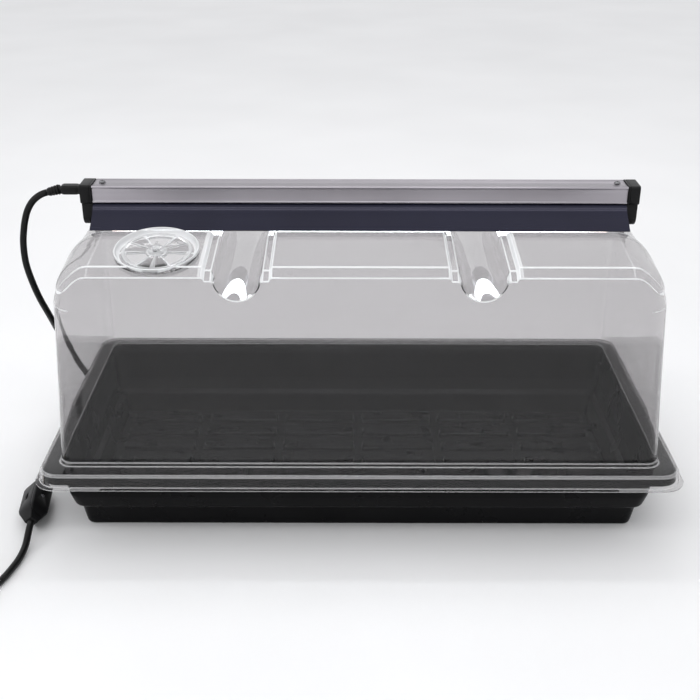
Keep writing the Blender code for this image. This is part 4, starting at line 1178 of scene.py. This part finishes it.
def make_vent(materials, side):
    """A vent's turning disc, with its grips and spokes, and the rivet that holds it."""
    name = "front" if side < 0 else "rear"
    place = vent_place(side)
    profile = [
        (2.6, GAP), (DISC_RADIUS, GAP), (DISC_RADIUS + 0.6, 0.7), (DISC_RADIUS + 0.7, 1.5),
        (DISC_RADIUS + 0.3, 2.1), (DISC_RADIUS - 0.8, 2.3), (DISC_RADIUS - 1.9, 1.9),
        (DISC_RADIUS - 2.4, 1.3), (8.4, 1.3), (7.2, 1.6), (6.7, 2.4), (6.5, 3.6), (6.0, 4.2),
        (2.6, 4.2),
    ]
    disc = add_object(f"vent_disc_{name}_fine", turned(profile, 72, close=True), [], place)
    cut(disc, opening_prisms(-1.0, 3.0), place)
    for low, high in ((3.9, 6.2), (-6.2, -3.9)):
        weld(disc, prism(box_outline(1.5, 3.6, 7.0, 0.7, 3), (low, high), "Y"), place)
    for k in range(VENT_OPENINGS):
        turn = Matrix.Rotation(math.radians(360.0 * k / VENT_OPENINGS - 60.0), 4, "Z")
        weld(disc, prism(box_outline(0.8, 0.9, 2.1, 0.3, 2), (6.2, DISC_RADIUS - 1.2), "Y"),
             place @ turn)
    set_material(disc, materials["vent"])
    bevel(disc, 0.15, 2, 50.0)
    # painted highlights along the disc's creases
    mark_painted_highlights(disc)
    finish_piece(disc, f"vent_{name}", "clear_plastic", f"vent_disc_{name}")
    rivet_profile = [(0.05, -4.4), (2.2, -4.4), (3.6, -3.0), (3.6, -1.3), (2.2, -1.3), (2.2, 4.6),
                     (3.4, 4.6), (3.3, 5.1), (2.6, 5.6), (1.4, 5.8), (0.05, 5.8)]
    rivet = add_object(f"vent_rivet_{name}_fine", turned(rivet_profile, 36),
                       [materials["vent"]], place)
    shade_round(rivet)
    # painted highlights along the rivet's creases
    mark_painted_highlights(rivet)
    finish_piece(rivet, "dome", "clear_plastic", f"vent_rivet_{name}")


# ---------------------------------------------------------------- light

HOUSING_WALL = 1.5
REFLECTOR_WALL = 0.8
LAMP_WALL = 0.8
CAP_START = HOUSING_HIGH.x + GAP           # where the end caps and lampholders begin


def mirrored(half):
    """A closed outline from its right half, bottom to top."""
    return half + [(-a, b) for a, b in reversed(half) if abs(a) > 1e-6]


def screw_place(name):
    """Where a housing screw stands along the light."""
    low, high = node_box(f"housing_screw_{name}")
    return Matrix.Translation(((low.x + high.x) / 2.0, 0.0, 0.0))


def make_housing(materials):
    """The extruded box section, with a bead along each top edge and a step at its foot."""
    low, high, half = HOUSING_LOW.z, HOUSING_HIGH.z, HOUSING_HIGH.y
    outer = mirrored([
        (0.0, low), (half - 1.0, low), (half, low + 0.8), (half, low + 2.0),
        (half - 0.5, low + 2.5), (half - 0.5, high - 2.3), (half, high - 1.8),
        (half, high - 0.9), (half - 0.7, high), (half - 1.7, high), (half - 2.2, high - 0.45),
        (0.0, high - 0.45),
    ])
    inner = mirrored([(0.0, low + HOUSING_WALL), (half - HOUSING_WALL, low + HOUSING_WALL),
                      (half - HOUSING_WALL, high - HOUSING_WALL), (0.0, high - HOUSING_WALL)])
    start, end = HOUSING_LOW.x, HOUSING_HIGH.x
    housing = add_object("light_housing_fine", prism(outer, (start, end)), [materials["housing"]])
    cut(housing, prism(inner, (start - 1.0, end + 1.0)))
    for name in ("left", "right"):
        cut(housing, bore(1.8, high - 3.0, high + 3.0, 24), screw_place(name))
    bevel(housing, 0.3, 2, 28.0)
    finish_piece(housing, "light", "aluminium", "light_housing")


def make_end_cap(name, side, materials):
    """A cap with a groove around it, its tongue in the housing, and the screw that holds it."""
    low, high = node_box(f"end_cap_{name}")
    inside, outside = sorted((abs(low.x), abs(high.x)))

    def along(outline, start, end):
        return prism(outline, (side * start, side * end))

    cap = add_object(f"end_cap_{name}_fine",
                     along(box_outline(high.y, low.z, high.z, 2.4, 5), CAP_START, outside),
                     [materials["cap"]])
    ring = add_object("ring", along(box_outline(high.y * 1.02, low.z - 1.0, high.z + 1.0),
                                    CAP_START + 1.4, CAP_START + 1.9))
    cut(ring, along(box_outline(high.y - 0.35, low.z + 0.35, high.z - 0.35, 2.1, 5),
                    CAP_START + 1.0, CAP_START + 2.4))
    combine(cap, ring, "DIFFERENCE")
    weld(cap, along(box_outline(9.8, HOUSING_LOW.z + 1.8, HOUSING_HIGH.z - 1.8),
                    inside, CAP_START + 2.0))
    place = screw_place(name)
    top = HOUSING_HIGH.z
    cut(cap, bore(1.6, top - 9.0, top, 20), place)
    if side < 0:
        recess = box_outline(5.6, CONNECTOR_LOW.z - GAP, CONNECTOR_HIGH.z + GAP, 1.5, 4)
        cut(cap, along(recess, outside + 1.0, outside - 6.0))
    bevel(cap, 0.45, 3, 40.0)
    finish_piece(cap, "light", "black_plastic", f"end_cap_{name}")
    screw = make_screw(f"housing_screw_{name}_fine", materials, place, 2.8, 1.3,
                       top - 7.0, top + 0.1, top + 1.5)
    finish_piece(screw, "light", "steel", f"housing_screw_{name}")


def make_lampholder(name, side, materials):
    """Square shoulders above, round about the lamp below, with a parting step."""
    low, high = node_box(f"lampholder_{name}")
    radius = high.y
    middle = low.z + radius
    points = [(radius, high.z), (-radius, high.z)]
    for i in range(25):
        angle = math.pi + math.pi * i / 24
        points.append((radius * math.cos(angle), middle + radius * math.sin(angle)))
    end = max(abs(low.x), abs(high.x))
    holder = add_object(f"lampholder_{name}_fine", prism(points, (side * CAP_START, side * end)),
                        [materials["cap"]])
    cut(holder, along_x(bore(6.6, -1.0, 6.4, 40), side),
        Matrix.Translation((side * CAP_START, 0.0, LAMP_Z)))
    bevel(holder, 0.7, 3, 40.0)
    finish_piece(holder, "light", "black_plastic", f"lampholder_{name}")


def make_lamp(materials):
    """The glass tube, and a metal cap with a crimped edge on each end."""
    radius = LAMP_HIGH.y
    bore_radius = radius - LAMP_WALL
    half = LAMP_HIGH.x
    middle = Matrix.Translation((0.0, 0.0, LAMP_Z))
    profile = [(radius, -half), (radius, 0.0), (radius, half), (bore_radius, half),
               (bore_radius, -half)]
    glass = add_object("lamp_tube_fine", along_x(turned(profile, 48, close=True), 1),
                       [materials["lamp"]], middle)
    shade_round(glass)
    finish_piece(glass, "lamp", "lamp_glass", "lamp_tube")
    for name, side in (("left", -1), ("right", 1)):
        low, high = node_box(f"lamp_cap_{name}")
        inside, outside = sorted((abs(low.x), abs(high.x)))
        start = half + GAP
        cap_profile = [(0.05, inside), (7.0, inside), (7.0, start), (7.9, start),
                       (8.1, start + 0.3), (8.1, outside - 2.2), (7.9, outside - 1.9),
                       (8.1, outside - 1.6), (8.0, outside - 0.7), (7.4, outside),
                       (0.05, outside)]
        cap = add_object(f"lamp_cap_{name}_fine", along_x(turned(cap_profile, 48), side),
                         [materials["mirror"]], middle)
        shade_round(cap)
        finish_piece(cap, "lamp", "aluminium", f"lamp_cap_{name}")


def make_reflector(materials):
    """A pressed sheet over the lamp: dark outside, mirror bright inside."""
    top, bottom, edge = REFLECTOR_HIGH.z, REFLECTOR_LOW.z, REFLECTOR_HIGH.y
    half = [(0.0, top), (10.5, top), (13.2, top - 1.3), (15.6, top - 4.9), (20.5, top - 8.5),
            (26.0, top - 11.8), (31.0, top - 15.1), (edge - 0.5, bottom + 0.6)]
    half = eased(half, 3.0, 5)
    outer = [(-a, b) for a, b in reversed(half[1:])] + half
    inner = []
    for i, (a, b) in enumerate(outer):
        before = Vector(outer[max(0, i - 1)])
        after = Vector(outer[min(len(outer) - 1, i + 1)])
        along = (after - before).normalized()
        inner.append((a + along.y * REFLECTOR_WALL, b - along.x * REFLECTOR_WALL))
    outline = outer + list(reversed(inner))
    start, end = REFLECTOR_LOW.x, REFLECTOR_HIGH.x
    bm = prism(outline, (start, 0.0, end))
    reflector = add_object("reflector_fine", bm, [materials["reflector"], materials["mirror"]])
    axis = Vector((0.0, (top + bottom) / 2.0 * MM - 0.006))
    for face in reflector.data.polygons:
        toward = axis - Vector((face.center.y, face.center.z))
        facing = face.normal.y * toward.x + face.normal.z * toward.y
        face.material_index = 1 if facing > 0.0 and abs(face.normal.x) < 0.5 else 0
    shade_round(reflector, 50.0)
    finish_piece(reflector, "light", "reflector", "reflector")


RELIEF_RIBS = 4
RELIEF_DROOP = 14.0              # degrees
RELIEF_GAP = 1.3


def make_connector(materials):
    """The moulded connector, waisted toward the lead, and its ribbed relief."""
    low, high = CONNECTOR_LOW, CONNECTOR_HIGH
    half, middle = high.y, (low.z + high.z) / 2.0
    tall = (high.z - low.z) / 2.0
    rings = []
    for share, scale in ((0.0, 0.86), (0.04, 0.95), (0.1, 1.0), (0.52, 1.0), (0.62, 0.97),
                         (0.66, 0.9), (0.7, 0.97), (1.0, 1.0)):
        x = low.x + (high.x - low.x) * share
        outline = box_outline(half * scale, -tall * scale, tall * scale, 2.4 * scale, 5)
        rings.append([(x, a, middle + b) for a, b in outline])
    connector = add_object("cord_connector_fine", loft(rings), [materials["cord"]])
    for offset in (-2.6, 2.6):
        cut(connector, along_x(bore(1.2, -1.0, 8.0, 20), -1),
            Matrix.Translation((high.x, offset, middle)))
    shade_round(connector)
    finish_piece(connector, "light", "cord_black", "cord_connector")
    profile = [(0.05, 0.0), (3.9, 0.0), (4.1, 0.3)]
    for rib in range(RELIEF_RIBS):
        start = 0.9 + 2.5 * rib
        thick = 4.5 - 0.2 * rib
        profile += [(3.5, start), (thick - 0.2, start + 0.35), (thick, start + 0.8),
                    (thick, start + 1.4), (thick - 0.2, start + 1.75), (3.5, start + 2.1)]
    profile += [(3.4, 11.4), (0.05, 11.4)]
    droop = Matrix.Rotation(math.radians(-RELIEF_DROOP), 4, "Y")
    place = Matrix.Translation((low.x - RELIEF_GAP, 0.0, middle)) @ droop
    relief = add_object("strain_relief_fine", along_x(turned(profile, 32), -1),
                        [materials["cord"]], place)
    shade_round(relief)
    finish_piece(relief, "light", "cord_black", "strain_relief")


# ---------------------------------------------------------------- carried-over nodes

def paint_nodes(materials):
    """Give the CAD nodes that stay their own finish."""
    finishes = {
        "rotor_left": "white", "rotor_right": "white", "ballast_board": "board",
        "ballast_inductor": "winding", "ballast_capacitor": "can", "inlet_pin_1": "brass",
        "inlet_pin_2": "brass", "plug_blade_1": "brass", "plug_blade_2": "brass",
        "plug_ground_pin": "brass",
    }
    for end in ("left", "right"):
        for index in (1, 2):
            finishes[f"lamp_pin_{end}_{index}"] = "brass"
    for node, finish in finishes.items():
        set_material(frame["nodes"][node], materials[finish])


def main():
    """Build the studio, then every piece, part by part."""
    make_camera()
    make_studio()
    materials = make_materials()
    cord, tie, path = make_cord(materials)
    switch = make_switch(materials)
    plug = make_plug(materials)
    make_tray(materials)
    make_dome(materials)
    for side in (-1, 1):
        make_vent(materials, side)
    make_housing(materials)
    for name, side in (("left", -1), ("right", 1)):
        make_end_cap(name, side, materials)
        make_lampholder(name, side, materials)
    make_lamp(materials)
    make_reflector(materials)
    make_connector(materials)
    paint_nodes(materials)


main()
